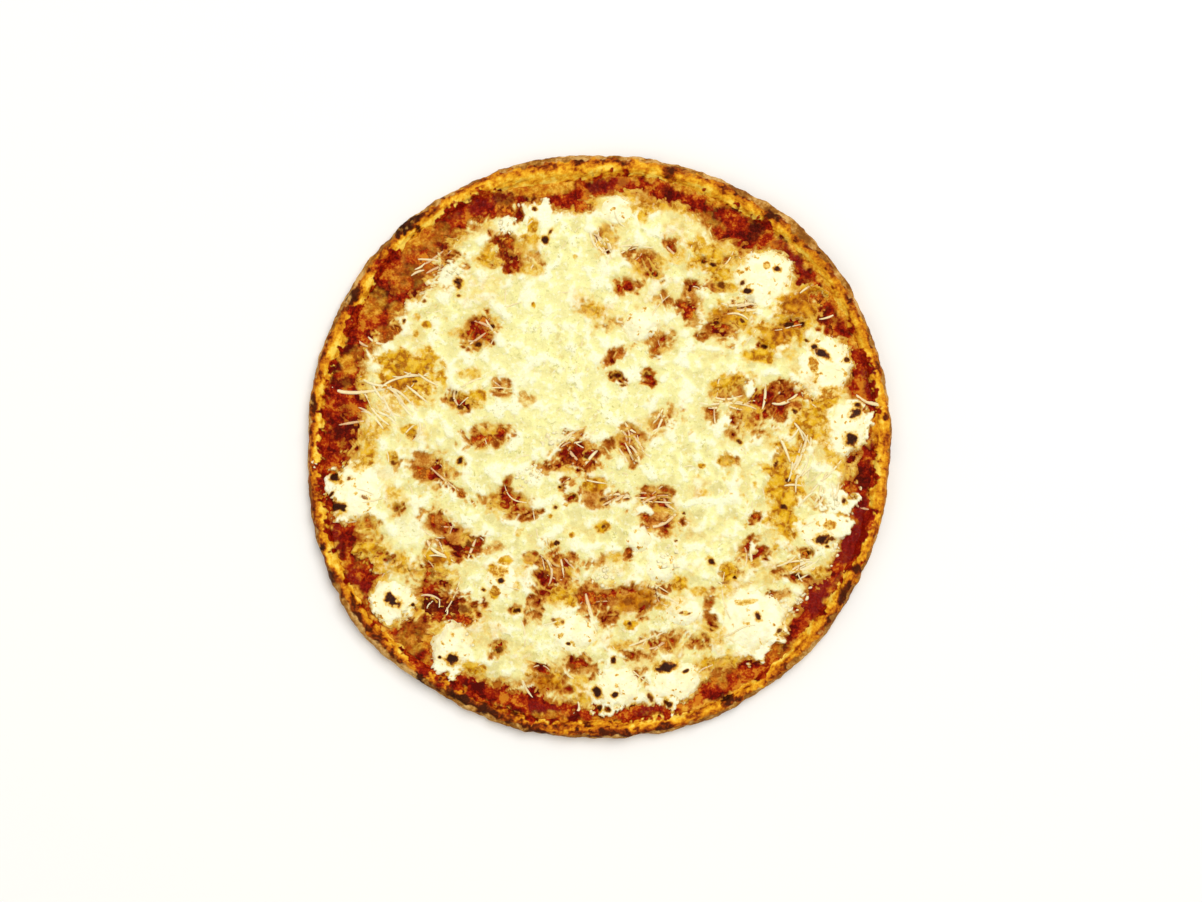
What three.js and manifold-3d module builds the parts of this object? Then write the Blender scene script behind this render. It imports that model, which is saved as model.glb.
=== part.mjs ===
// Four cheese pizza: a thin dough crust with a low baked rim, a layer of tomato sauce, a sheet of
// melted cheese with grated shreds, crumbs and blisters on it, and soft goat cheese dollops.
// Millimetres, +Z up. The pizza rests on z = 0 and its bounding box is centred on the Z axis.
import * as THREE from "three";
import { mergeVertices } from "three/addons/utils/BufferGeometryUtils.js";
import { SimplexNoise } from "three/addons/math/SimplexNoise.js";
import Module from "manifold-3d";

const { clamp, degToRad, euclideanModulo, lerp, mapLinear, radToDeg } = THREE.MathUtils;

// Driving dimensions.
const PIZZA_RADIUS = 150;
const RIM_WIDTH = 8.5;
const RIM_HEIGHT = 10.5;
const DOUGH_THICKNESS = 3.6;
const SAUCE_THICKNESS = 1.3;
const CHEESE_RADIUS = 131;
const CHEESE_THICKNESS = 2.6;
const DOLLOP_HEIGHT = 6.2;
const LAYER_GAP = 0.3;

// Levels of the layers, each a gap above the one below.
const SAUCE_BOTTOM = DOUGH_THICKNESS + LAYER_GAP;
const SAUCE_TOP = SAUCE_BOTTOM + SAUCE_THICKNESS;
const CHEESE_BOTTOM = SAUCE_TOP + LAYER_GAP;
const CHEESE_TOP = CHEESE_BOTTOM + CHEESE_THICKNESS;

// Section of the rim, from its foot, round the outside and over the crest to its inner foot:
// share of the rim's width in from the outer edge, and share of the rim's height.
const RIM_SECTION = [
  [1.35, 0],
  [0.5, 0.03],
  [0.14, 0.18],
  [0, 0.45],
  [0.07, 0.74],
  [0.25, 0.94],
  [0.5, 1],
  [0.76, 0.9],
  [0.95, 0.68],
  [1.12, 0.5],
];
const DOUGH_FLOOR_SHARE = 1.35;
const RIM_SPOKES = 102;

// Stretches of an edge that stand out or in, anticlockwise from +X: middle and half width in
// degrees, and how far out they go.
const OUTLINE_SWELLS = [
  { deg: 42, wide: 20, out: 3.2 },
  { deg: 128, wide: 24, out: 1.2 },
  { deg: 176, wide: 12, out: -2 },
  { deg: 214, wide: 15, out: 2.6 },
  { deg: 268, wide: 34, out: -2.2 },
  { deg: 340, wide: 20, out: -1.2 },
];
const RIM_WIDTH_SWELLS = [
  { deg: 98, wide: 13, out: 4 },
  { deg: 62, wide: 15, out: 2 },
  { deg: 150, wide: 12, out: 1 },
  { deg: 300, wide: 22, out: -0.8 },
];
const CHEESE_BAYS = [
  { deg: 58, wide: 8, out: -9 },
  { deg: 97, wide: 8, out: -8 },
  { deg: 141, wide: 11, out: -12 },
  { deg: 172, wide: 9, out: -13 },
  { deg: 203, wide: 7, out: -9 },
  { deg: 224, wide: 5, out: -12 },
  { deg: 254, wide: 8, out: -4 },
  { deg: 297, wide: 6, out: -6 },
  { deg: 354, wide: 7, out: -5 },
];

// Uneven waves round an edge: size, slowest wave's count in a turn, and seed.
const OUTLINE_RIPPLE = { size: 0.6, turns: 9, seed: 1 };
const RIM_WIDTH_RIPPLE = { size: 0.8, turns: 8, seed: 2 };
const RIM_HEIGHT_RIPPLE = { size: 0.5, turns: 6, seed: 3 };
const SAUCE_RIPPLES = [
  { size: 0.4, turns: 15, seed: 4 },
  { size: 0.4, turns: 15, seed: 5 },
];
const CHEESE_RIPPLE = { size: 2.2, turns: 13, seed: 7 };

// Blisters that rise on the rim's crest, and dents between them.
const RIM_BLISTERS = 22;
const RIM_BLISTER_RISES = [-0.6, 1.5];
const RIM_BLISTER_DEGREES = [1.5, 3.6];

// The ring of sauce that shows between the rim and the cheese.
const SAUCE_RING = 5;

// The melted cheese: rings of its top, the width of its sloping edge, and the lie of its top.
const CHEESE_RINGS = 13;
const CHEESE_EDGE_SLOPE = 2.4;
const CHEESE_LIP_SHARE = 0.45;
const CHEESE_SWELL = 0.7;
const CHEESE_SWELL_LENGTH = 34;

// Windows in the cheese where the browned sauce shows: x, y, half length, half width, tilt in degrees.
const SAUCE_WINDOWS = [
  [-45.3, 100.3, 10.5, 6.5, -60],
  [-60.3, 60.3, 9, 7.5, 70],
  [-71.3, 23.8, 6.5, 5, -30],
  [-49.3, 31.3, 5.5, 4, -35],
  [-55.3, 6.3, 12.5, 5, 10],
  [-85.3, -9.7, 10.5, 7, -20],
  [-75.3, -44.7, 15, 7, -38],
  [-44.3, -27.7, 11, 6.5, -20],
  [-13.3, -3.7, 13, 6.5, 12],
  [-0.3, -22.7, 8, 6.5, -30],
  [30.7, -31.7, 13, 8, -70],
  [-22.3, -63, 11, 9, 60],
  [8.7, -76.7, 18, 6, 0],
  [-77.3, -81.7, 14, 5, -8],
  [31.7, -98.7, 14, 4.6, 10],
  [-25.3, -117.7, 10, 6, 0],
  [23.7, 95.3, 9, 6.5, -30],
  [46.7, 75.3, 9, 5.5, 95],
  [65.7, 64.3, 11, 6, 15],
  [90.7, 25.3, 13, 7, 5],
  [74.7, 16.3, 9, 7, 0],
  [31.7, 55.3, 7, 6, 60],
  [16.7, 4.3, 8.5, 7, 60],
  [32.7, 14.3, 7.5, 5, 30],
  [77.7, -53.7, 8, 6.5, 70],
  [13.7, 82.3, 7, 4, -10],
];
const WINDOW_SIDES = 10;
const WINDOW_SLOPE = 1.3;
const WINDOW_RAGGED = 0.12;
const WINDOW_SEED = 20;

// Goat cheese dollops: x, y, half length, half width, tilt in degrees.
const DOLLOPS = [
  [83.9, 87, 16, 14.5, 30],
  [115, 41.2, 18, 14, 75],
  [126, 10.2, 14, 11, 80],
  [-122.5, -21.6, 15.5, 13, 80],
  [-104.8, -77.8, 12.5, 11.5, 0],
  [-74.3, -100.5, 13, 10.5, 70],
  [78.3, -86.4, 17.5, 16, 20],
  [113.9, -41.2, 12, 10, 20],
  [40, -117.5, 14, 11, 10],
  [9.5, -121.5, 12.5, 11, 0],
  [9.2, 121, 8.5, 8, 0],
  [-12, -93.5, 12.5, 9.5, 10],
  [43.5, -82.5, 9.5, 8, 0],
  [20.5, -46, 7, 6.5, 0],
  [32.5, -60.5, 9, 8, 30],
  [-49.3, -66, 9.5, 8.5, 0],
  [22, 63.5, 10.5, 8.5, 20],
];
const DOLLOP_RINGS = 3;
const DOLLOP_RAGGED = 0.07;
const DOLLOP_SEED = 60;
const DOLLOP_RISES = [0.78, 1.06];
const DOLLOP_LUMP = 0.5;
const DOLLOP_LUMP_LENGTH = 7;

// Section of a dollop's side: share of its outline, and share of its height.
const DOLLOP_FOOT = [0.97, 0];
const DOLLOP_WAIST = [1, 0.22];
const DOLLOP_SHOULDER = [0.95, 0.38];

// Small toppings that are fused to the melted cheese.
const SHREDS = 24;
const SHRED_SPREAD = 118;
const SHRED_LENGTHS = [16, 34];
const SHRED_WIDTH = 1.5;
const SHRED_TOP_SHARE = 0.7;
const SHRED_THICKNESS = 1;
const SHRED_RISE = 0.25;
const SHRED_BENDS = [-0.75, 0.75];
const SHRED_STEPS = 4;
const SHRED_SEED = 11;
const CRUMBS = { count: 12, spread: 104, sizes: [1.5, 2.8], flatness: 0.9, seed: 31 };
const BLISTERS = { count: 12, spread: 116, sizes: [2.2, 4.2], flatness: 0.5, seed: 41 };
const LUMP_STRETCHES = [0.8, 1.2];

const TURN = Math.PI * 2;
const GOLDEN_ANGLE = Math.PI * (3 - Math.sqrt(5));
const NOISE_SEED = 7;

const wasm = await Module();
wasm.setup();

// A repeatable number from 0 to 1 for one property of one item.
function draw(item, property) {
  const wave = Math.sin(item * 12.9898 + property * 78.233) * 43758.5453;
  return wave - Math.floor(wave);
}

function drawBetween([low, high], item, property) {
  return lerp(low, high, draw(item, property));
}

let drawn = 0;
const noise = new SimplexNoise({ random: () => draw((drawn += 1), NOISE_SEED) });

// How far the swells in a list push out at an angle.
function swell(angle, swells) {
  const deg = radToDeg(angle);
  return swells.reduce((sum, { deg: middle, wide, out }) => {
    const apart = euclideanModulo(deg - middle + 180, 360) - 180;
    return sum + out * Math.exp(-((apart / wide) ** 2));
  }, 0);
}

// An uneven wave round a closed outline, from about -size to size.
function ripple(angle, { size, turns, seed }) {
  const waves = [0.5, 0.35, 0.25];
  return waves.reduce((sum, share, i) => {
    return sum + size * share * Math.sin((turns + 3 * i) * angle + TURN * draw(seed, i));
  }, 0);
}

function polar(angle, radius, z) {
  return [radius * Math.cos(angle), radius * Math.sin(angle), z];
}

function ring(count, place) {
  return Array.from({ length: count }, (_, i) => place((i / count) * TURN));
}

// Even rings that cover a disc from its edge inwards: ring k of the count has 6k points.
function discRings(count, place) {
  return Array.from({ length: count }, (_, i) => {
    const k = count - i;
    return ring(6 * k, (angle) => place(angle, k / count));
  });
}

// Triangles between two rings, which may differ in count: a ring of one is a tip.
function bandFaces(lowerStart, lowerCount, upperStart, upperCount) {
  const faces = [];
  const lowerSteps = lowerCount > 1 ? lowerCount : 0;
  const upperSteps = upperCount > 1 ? upperCount : 0;
  let a = 0;
  let b = 0;
  while (a < lowerSteps || b < upperSteps) {
    const lower = lowerStart + (a % lowerCount);
    const upper = upperStart + (b % upperCount);
    const lowerIsBehind = b === upperSteps || (a + 1) * upperSteps <= (b + 1) * lowerSteps;
    if (a < lowerSteps && lowerIsBehind) {
      a += 1;
      faces.push(lower, lowerStart + (a % lowerCount), upper);
    } else {
      b += 1;
      faces.push(lower, upperStart + (b % upperCount), upper);
    }
  }
  return faces;
}

// A closed surface over a stack of rings, from a lowest point, round the outside, to a highest point.
function ringStack(lowest, rings, highest) {
  const stack = [[lowest], ...rings, [highest]];
  const faces = [];
  let start = 0;
  stack.slice(1).forEach((upper, i) => {
    const next = start + stack[i].length;
    faces.push(...bandFaces(start, stack[i].length, next, upper.length));
    start = next;
  });
  const geometry = new THREE.BufferGeometry();
  geometry.setAttribute("position", new THREE.Float32BufferAttribute(stack.flat(2), 3));
  geometry.setIndex(faces);
  return geometry;
}

function solidOf(geometry) {
  const bare = geometry.clone().deleteAttribute("normal").deleteAttribute("uv");
  const merged = mergeVertices(bare);
  const vertProperties = merged.getAttribute("position").array;
  const triVerts = new Uint32Array(merged.index.array);
  return new wasm.Manifold(new wasm.Mesh({ numProp: 3, vertProperties, triVerts }));
}

function geometryOf(solid) {
  const { vertProperties, triVerts } = solid.getMesh();
  const geometry = new THREE.BufferGeometry();
  geometry.setAttribute("position", new THREE.Float32BufferAttribute(vertProperties, 3));
  geometry.setIndex(new THREE.Uint32BufferAttribute(triVerts, 1));
  return geometry;
}

function largestBody(solid) {
  return solid.decompose().reduce((best, body) => (body.volume() > best.volume() ? body : best));
}

// Crust: outer edge, rim and dough floor.
function outerRadius(angle) {
  return PIZZA_RADIUS + swell(angle, OUTLINE_SWELLS) + ripple(angle, OUTLINE_RIPPLE);
}

function rimWidth(angle) {
  return RIM_WIDTH + swell(angle, RIM_WIDTH_SWELLS) + ripple(angle, RIM_WIDTH_RIPPLE);
}

const rimBlisters = Array.from({ length: RIM_BLISTERS }, (_, i) => ({
  deg: ((i + 0.7 * draw(i, 1)) * 360) / RIM_BLISTERS,
  wide: drawBetween(RIM_BLISTER_DEGREES, i, 2),
  out: drawBetween(RIM_BLISTER_RISES, i, 3),
}));

function rimHeight(angle) {
  return RIM_HEIGHT + swell(angle, rimBlisters) + ripple(angle, RIM_HEIGHT_RIPPLE);
}

function rimPoint(angle, across, z) {
  return polar(angle, outerRadius(angle) - across * rimWidth(angle), z);
}

function crustGeometry() {
  const rings = RIM_SECTION.map(([across, up]) =>
    ring(RIM_SPOKES, (angle) => rimPoint(angle, across, up * rimHeight(angle))),
  );
  rings.push(ring(RIM_SPOKES, (angle) => rimPoint(angle, DOUGH_FLOOR_SHARE, DOUGH_THICKNESS)));
  return ringStack([0, 0, 0], rings, [0, 0, DOUGH_THICKNESS]);
}

// Share of the rim's width at which its inner slope reaches a height.
function innerSlopeShare(angle, z) {
  const [shoulder, foot] = RIM_SECTION.slice(-2).map(([across, up]) => [across, up * rimHeight(angle)]);
  const floor = [DOUGH_FLOOR_SHARE, DOUGH_THICKNESS];
  const [low, high] = z < foot[1] ? [floor, foot] : [foot, shoulder];
  return mapLinear(z, low[1], high[1], low[0], high[0]);
}

// Tomato sauce: covers the dough up to the rim's slope, with shallow dips in the ring that shows.
function sauceGeometry() {
  const pulledIn = ([x, y, z], inset) => {
    const share = 1 - inset / Math.hypot(x, y);
    return [x * share, y * share, z];
  };
  const topRing = (inset, dips) =>
    ring(RIM_SPOKES, (angle) => {
      const z = SAUCE_TOP - clamp(dips.size / 2 + ripple(angle, dips), 0, dips.size);
      return pulledIn(rimPoint(angle, innerSlopeShare(angle, z), z), LAYER_GAP + inset);
    });
  const bottom = ring(RIM_SPOKES, (angle) =>
    pulledIn(rimPoint(angle, DOUGH_FLOOR_SHARE, SAUCE_BOTTOM), LAYER_GAP),
  );
  const top = [topRing(0, SAUCE_RIPPLES[0]), topRing(SAUCE_RING, SAUCE_RIPPLES[1])];
  return ringStack([0, 0, SAUCE_BOTTOM], [bottom, ...top], [0, 0, SAUCE_TOP]);
}

// Melted cheese: the sheet's outline and the lie of its top.
function cheeseRadius(angle) {
  return CHEESE_RADIUS + swell(angle, CHEESE_BAYS) + ripple(angle, CHEESE_RIPPLE);
}

function cheeseTop(x, y) {
  return CHEESE_TOP + CHEESE_SWELL * noise.noise(x / CHEESE_SWELL_LENGTH, y / CHEESE_SWELL_LENGTH);
}

function cheeseSheet() {
  const edgeRing = (inset, z) =>
    ring(6 * CHEESE_RINGS, (angle) => polar(angle, cheeseRadius(angle) - inset, z));
  const lipHeight = CHEESE_BOTTOM + CHEESE_LIP_SHARE * CHEESE_THICKNESS;
  const top = discRings(CHEESE_RINGS, (angle, share) => {
    const [x, y] = polar(angle, share * (cheeseRadius(angle) - CHEESE_EDGE_SLOPE), 0);
    return [x, y, cheeseTop(x, y)];
  });
  const edge = [edgeRing(0, CHEESE_BOTTOM), edgeRing(CHEESE_EDGE_SLOPE / 3, lipHeight)];
  return ringStack([0, 0, CHEESE_BOTTOM], [...edge, ...top], [0, 0, cheeseTop(0, 0)]);
}

// Point on an uneven oval outline that has its own centre and tilt.
function ovalPoint([x, y, halfLength, halfWidth, tilt], angle, { share = 1, grow = 0, ragged, seed }) {
  const size = share * (1 + ripple(angle, { size: ragged, turns: 3, seed }));
  const long = (halfLength * size + grow) * Math.cos(angle);
  const wide = (halfWidth * size + grow) * Math.sin(angle);
  const turn = degToRad(tilt);
  return [
    x + long * Math.cos(turn) - wide * Math.sin(turn),
    y + long * Math.sin(turn) + wide * Math.cos(turn),
  ];
}

// A tapered plug with an oval outline, from below the sheet to above everything on it.
function plug(oval, sides, growLow, growHigh, edge) {
  const low = CHEESE_BOTTOM - 1;
  const middle = CHEESE_TOP + CHEESE_SWELL;
  const high = CHEESE_TOP + DOLLOP_HEIGHT;
  const ringAt = (grow, z) => ring(sides, (angle) => [...ovalPoint(oval, angle, { grow, ...edge }), z]);
  const rings = [ringAt(growLow, low), ringAt(growHigh, middle), ringAt(growHigh, high)];
  const [x, y] = oval;
  return solidOf(ringStack([x, y, low], rings, [x, y, high]));
}

function windowPlug(oval, i) {
  const edge = { ragged: WINDOW_RAGGED, seed: WINDOW_SEED + i };
  return plug(oval, WINDOW_SIDES, -WINDOW_SLOPE, WINDOW_SLOPE, edge);
}

function dollopSocket(oval, i) {
  const edge = { ragged: DOLLOP_RAGGED, seed: DOLLOP_SEED + i };
  return plug(oval, 6 * DOLLOP_RINGS, LAYER_GAP, LAYER_GAP, edge);
}

// Goat cheese dollop: a lumpy dome that stands in its socket, just above the sauce.
function dollopGeometry(oval, i) {
  const [x, y] = oval;
  const edge = { ragged: DOLLOP_RAGGED, seed: DOLLOP_SEED + i };
  const height = DOLLOP_HEIGHT * drawBetween(DOLLOP_RISES, i, DOLLOP_SEED);
  const sideRing = ([share, up]) =>
    ring(6 * DOLLOP_RINGS, (angle) => [
      ...ovalPoint(oval, angle, { share, ...edge }),
      CHEESE_BOTTOM + up * height,
    ]);
  const domePoint = (px, py, share) => {
    const up = Math.sqrt(1 - (1 - DOLLOP_SHOULDER[1] ** 2) * share ** 2);
    const lump = DOLLOP_LUMP * noise.noise(px / DOLLOP_LUMP_LENGTH, py / DOLLOP_LUMP_LENGTH);
    return [px, py, CHEESE_BOTTOM + up * height + lump];
  };
  const dome = discRings(DOLLOP_RINGS, (angle, share) =>
    domePoint(...ovalPoint(oval, angle, { share: share * DOLLOP_SHOULDER[0], ...edge }), share),
  );
  const side = [sideRing(DOLLOP_FOOT), sideRing(DOLLOP_WAIST)];
  return ringStack([x, y, CHEESE_BOTTOM], [...side, ...dome], domePoint(x, y, 0));
}

// Place of item i of a kind that is spread evenly over a disc.
function spiralPlace(i, count, spread, turn) {
  return polar(i * GOLDEN_ANGLE + turn, spread * Math.sqrt((i + 0.5) / count), 0);
}

// Grated shred: a bent strip half sunk in the sheet.
function shred(i) {
  const [x, y] = spiralPlace(i, SHREDS, SHRED_SPREAD, SHRED_SEED);
  const length = drawBetween(SHRED_LENGTHS, i, SHRED_SEED);
  const heading = TURN * draw(i, SHRED_SEED + 1);
  const bend = drawBetween(SHRED_BENDS, i, SHRED_SEED + 2);
  const centres = Array.from({ length: SHRED_STEPS + 1 }, (_, step) => {
    const along = length * (step / SHRED_STEPS - 0.5);
    const side = (bend * along * along) / length;
    const px = x + along * Math.cos(heading) - side * Math.sin(heading);
    const py = y + along * Math.sin(heading) + side * Math.cos(heading);
    return [px, py, cheeseTop(px, py) + SHRED_RISE];
  });
  const sections = centres.map(([px, py, pz], step) => {
    const facing = heading + 2 * bend * (step / SHRED_STEPS - 0.5);
    const corner = (sideways, up) => [
      px - (sideways * SHRED_WIDTH * Math.sin(facing)) / 2,
      py + (sideways * SHRED_WIDTH * Math.cos(facing)) / 2,
      pz + (up * SHRED_THICKNESS) / 2,
    ];
    return [corner(-1, -1), corner(1, -1), corner(SHRED_TOP_SHARE, 1), corner(-SHRED_TOP_SHARE, 1)];
  });
  return solidOf(ringStack(centres[0], sections, centres[SHRED_STEPS]));
}

// Crumb or blister: an uneven lump half sunk in the sheet.
function lump({ count, spread, sizes, flatness, seed }, i) {
  const [x, y] = spiralPlace(i, count, spread, seed);
  const shape = new THREE.IcosahedronGeometry(drawBetween(sizes, i, seed), 0);
  shape.rotateX(TURN * draw(i, seed + 1));
  shape.rotateZ(TURN * draw(i, seed + 2));
  shape.scale(1, drawBetween(LUMP_STRETCHES, i, seed + 3), flatness);
  shape.translate(x, y, cheeseTop(x, y));
  return solidOf(shape);
}

function isInsideSheet(solid) {
  const { min, max } = solid.boundingBox();
  return [min, max].every(([x, y]) => Math.hypot(x, y) < cheeseRadius(Math.atan2(y, x)) - CHEESE_EDGE_SLOPE);
}

function cheeseGeometry() {
  const counted = (count, make) => Array.from({ length: count }, (_, i) => make(i));
  const toppings = [
    ...counted(SHREDS, shred),
    ...counted(CRUMBS.count, (i) => lump(CRUMBS, i)),
    ...counted(BLISTERS.count, (i) => lump(BLISTERS, i)),
  ];
  const sheet = solidOf(cheeseSheet());
  const open = SAUCE_WINDOWS.map(windowPlug).reduce((solid, hole) => solid.subtract(hole), sheet);
  const topped = toppings.filter(isInsideSheet).reduce((solid, topping) => solid.add(topping), open);
  const fitted = DOLLOPS.map(dollopSocket).reduce((solid, socket) => solid.subtract(socket), topped);
  return geometryOf(largestBody(fitted));
}

const crustMaterial = new THREE.MeshStandardMaterial({ color: 0xd6922e, roughness: 0.8, metalness: 0 });
const sauceMaterial = new THREE.MeshStandardMaterial({ color: 0x94300c, roughness: 0.35, metalness: 0 });
const cheeseMaterial = new THREE.MeshStandardMaterial({ color: 0xf6eab0, roughness: 0.45, metalness: 0 });
const dollopMaterial = new THREE.MeshStandardMaterial({ color: 0xfcf8dc, roughness: 0.6, metalness: 0 });

function addPiece(group, name, geometry, material) {
  geometry.computeVertexNormals();
  const mesh = new THREE.Mesh(geometry, material);
  mesh.name = name;
  group.add(mesh);
}

const pizza = new THREE.Group();
addPiece(pizza, "crust", crustGeometry(), crustMaterial);
addPiece(pizza, "tomato_sauce", sauceGeometry(), sauceMaterial);
addPiece(pizza, "melted_cheese", cheeseGeometry(), cheeseMaterial);
DOLLOPS.forEach((oval, i) => {
  const name = `goat_cheese_${String(i + 1).padStart(2, "0")}`;
  addPiece(pizza, name, dollopGeometry(oval, i), dollopMaterial);
});

// Centres the bounding box on the Z axis.
const middle = new THREE.Box3().setFromObject(pizza).getCenter(new THREE.Vector3());
pizza.position.set(-middle.x, -middle.y, 0);

export default pizza;
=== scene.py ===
"""Looks of a four cheese pizza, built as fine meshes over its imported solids.

Lengths are millimetres until a mesh is made, and angles run anticlockwise from +X.
"""
import itertools
import math

import bpy
import numpy as np
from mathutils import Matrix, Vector
from mathutils.bvhtree import BVHTree


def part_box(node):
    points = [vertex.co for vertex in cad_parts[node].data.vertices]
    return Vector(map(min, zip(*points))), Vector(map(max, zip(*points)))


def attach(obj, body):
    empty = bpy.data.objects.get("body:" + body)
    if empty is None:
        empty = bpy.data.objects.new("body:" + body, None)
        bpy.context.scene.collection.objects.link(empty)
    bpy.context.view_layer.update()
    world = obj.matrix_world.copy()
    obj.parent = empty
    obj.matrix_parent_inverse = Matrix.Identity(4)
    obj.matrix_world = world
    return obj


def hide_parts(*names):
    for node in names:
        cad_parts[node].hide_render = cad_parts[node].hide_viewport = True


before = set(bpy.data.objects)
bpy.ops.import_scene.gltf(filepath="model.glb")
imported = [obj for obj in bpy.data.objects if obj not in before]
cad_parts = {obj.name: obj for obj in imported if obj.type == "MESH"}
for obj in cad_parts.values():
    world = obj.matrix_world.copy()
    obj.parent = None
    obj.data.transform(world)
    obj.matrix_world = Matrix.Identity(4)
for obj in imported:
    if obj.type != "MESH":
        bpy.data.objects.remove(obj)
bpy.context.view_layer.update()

MM = 0.001
TURN = 2 * math.pi
GOLDEN_ANGLE = math.pi * (3 - math.sqrt(5))

# Hash of whole numbers: what sets seeds apart, the factors that mix, and the count of its values.
SEED_STEP = 7919
SEED_START = 17
HASH_FACTORS = np.array([0x9E3779B1, 0x85EBCA6B], np.uint32)
HASH_VALUES = 2.0 ** 32

# The part's own random draw.
DRAW_ITEM = 12.9898
DRAW_TRAIT = 78.233
DRAW_SCALE = 43758.5453

# Levels of the layers, from the frame.
SAUCE_LOW, SAUCE_TOP = (corner.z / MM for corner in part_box("tomato_sauce"))
SHEET_LOW = SAUCE_TOP + 0.3
DOLLOPS = sorted(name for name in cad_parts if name.startswith("goat_cheese"))

# Middle of the part's spirals and outlines in the frame, which is centred on the part's box.
MIDDLE = np.array([-0.7, -1.29])

# Photograph: frame width and place of the pizza's middle, as seen at the height of the cheese.
VIEW_WIDTH = 611.2
VIEW_OFFSET = (0.8, -2.3)
CAMERA_HEIGHT = 900
CHEESE_LEVEL = 8

# Middle of the calm, clean part of the cheese.
CALM_MIDDLE = (-15, 38)

# Directions of the half-melted shreds in the cheese, in degrees.
STREAK_HEADINGS = (20, 72, 128, 165)

# Radius of the smaller ring on which the rim's noise is read, so that it is drawn out along the rim.
NOISE_RING = 55

# Fields on a square grid, and blurs of the cheese's lie, of its cover, and of its cover's wide edge.
GRID_HALF = 160
GRID_STEP = 1.0
LIE_BLUR = 1.6
COVER_BLUR = 2.4
WIDE_BLUR = 6

# Mesh fineness.
RIM_SPOKES = 1080
RIM_STEPS = 50
SAUCE_SPOKES = 720
SAUCE_RINGS = 150
CHEESE_RINGS = 178
CHEESE_REACH = 143
DOLLOP_SPOKES = 180
DOLLOP_RINGS = 34
STRIP_SIDES = 6
STRAND_STEPS = 17
SHRED_STEPS = 15
LUMP_SIDES = 8

# Rays: the height from which they fall, and how far out those towards the pizza and a dollop start.
RAY_HEIGHT = 30
PIZZA_REACH = 200
DOLLOP_REACH = 60

# Line inside the rim from which rays fan out: distance from the edge, height, and first and last degree.
RIM_INSET = 5.0
RIM_LINE = 4.6
RIM_FAN = (-90, 186)

# Height over the crust's solid at which shreds and crumbs lie on the rim.
RIM_CLEARANCE = 0.4

# Thickness of a shred above and below its middle, as a share of its width.
SHRED_THICKNESS = 0.22

# Depths in the surface at which the strands, the bundles' shreds and the scattered shreds lie.
STRAND_DEPTH = 0.08
BUNDLE_DEPTH = 0.12
SCATTER_DEPTH = 0.3

# How a shred settles: passes of smoothing, and the most that it falls in each.
DRAPE_PASSES = 6
DRAPE_FALL = 0.15

# Width of the strands as a multiple of the listed one.
STRAND_WIDENING = 1.2

# The part's own shreds: count, radius and first turn of their spiral, then limits and width.
PART_SHREDS = (24, 118, 11)
PART_SHRED_LENGTHS = (16, 34)
PART_SHRED_BENDS = (-0.75, 0.75)
PART_SHRED_WIDTH = 0.8

# Finer scattered shreds, in the same way.
FINE_SHREDS = (110, 128, 3)
FINE_SHRED_LENGTHS = (5, 18)
FINE_SHRED_BENDS = (-1.0, 1.0)
FINE_SHRED_WIDTHS = (0.5, 0.9)

# Shreds of a bundle: limits of their turn from its heading in degrees, length, bend and width.
BUNDLE_TURNS = (-24, 24)
BUNDLE_LENGTHS = (6, 15)
BUNDLE_BENDS = (-0.7, 0.7)
BUNDLE_WIDTHS = (0.9, 1.5)

# Crumbs: limits of the half length, of the width as a share of it, height as a share, and depth.
CRUMB_SIZES = (0.5, 1.5)
CRUMB_WIDTHS = (0.4, 1)
CRUMB_HEIGHT = 0.5
CRUMB_DEPTH = 0.05

# Steps from one bundle's or cluster's first number to the next one's, more than either ever holds.
BUNDLE_STEP = 50
CLUSTER_STEP = 40

# Light that scatters inside: its reach by colour, and the scale of that in metres.
GLOW_REACH = (1.0, 0.7, 0.35)
GLOW_SCALE = 0.0015

# Stage, in metres: the floor, lights by place, size and power, the sky, and the camera's sensor.
FLOOR_HALF = 10.0
FLOOR_LEVEL = -0.0003
KEY_LIGHT = ((0.875, 1.125, 2.875), 2.0, 78)
FILL_LIGHT = ((-2.25, -1.0, 2.25), 3.0, 25)
SKY_COLOUR = (1.0, 0.97, 0.9, 1.0)
SKY_STRENGTH = 0.45
SENSOR_WIDTH = 36

# The lists of places below hold ovals: x, y, half length, half width, tilt in degrees, strength.

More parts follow.
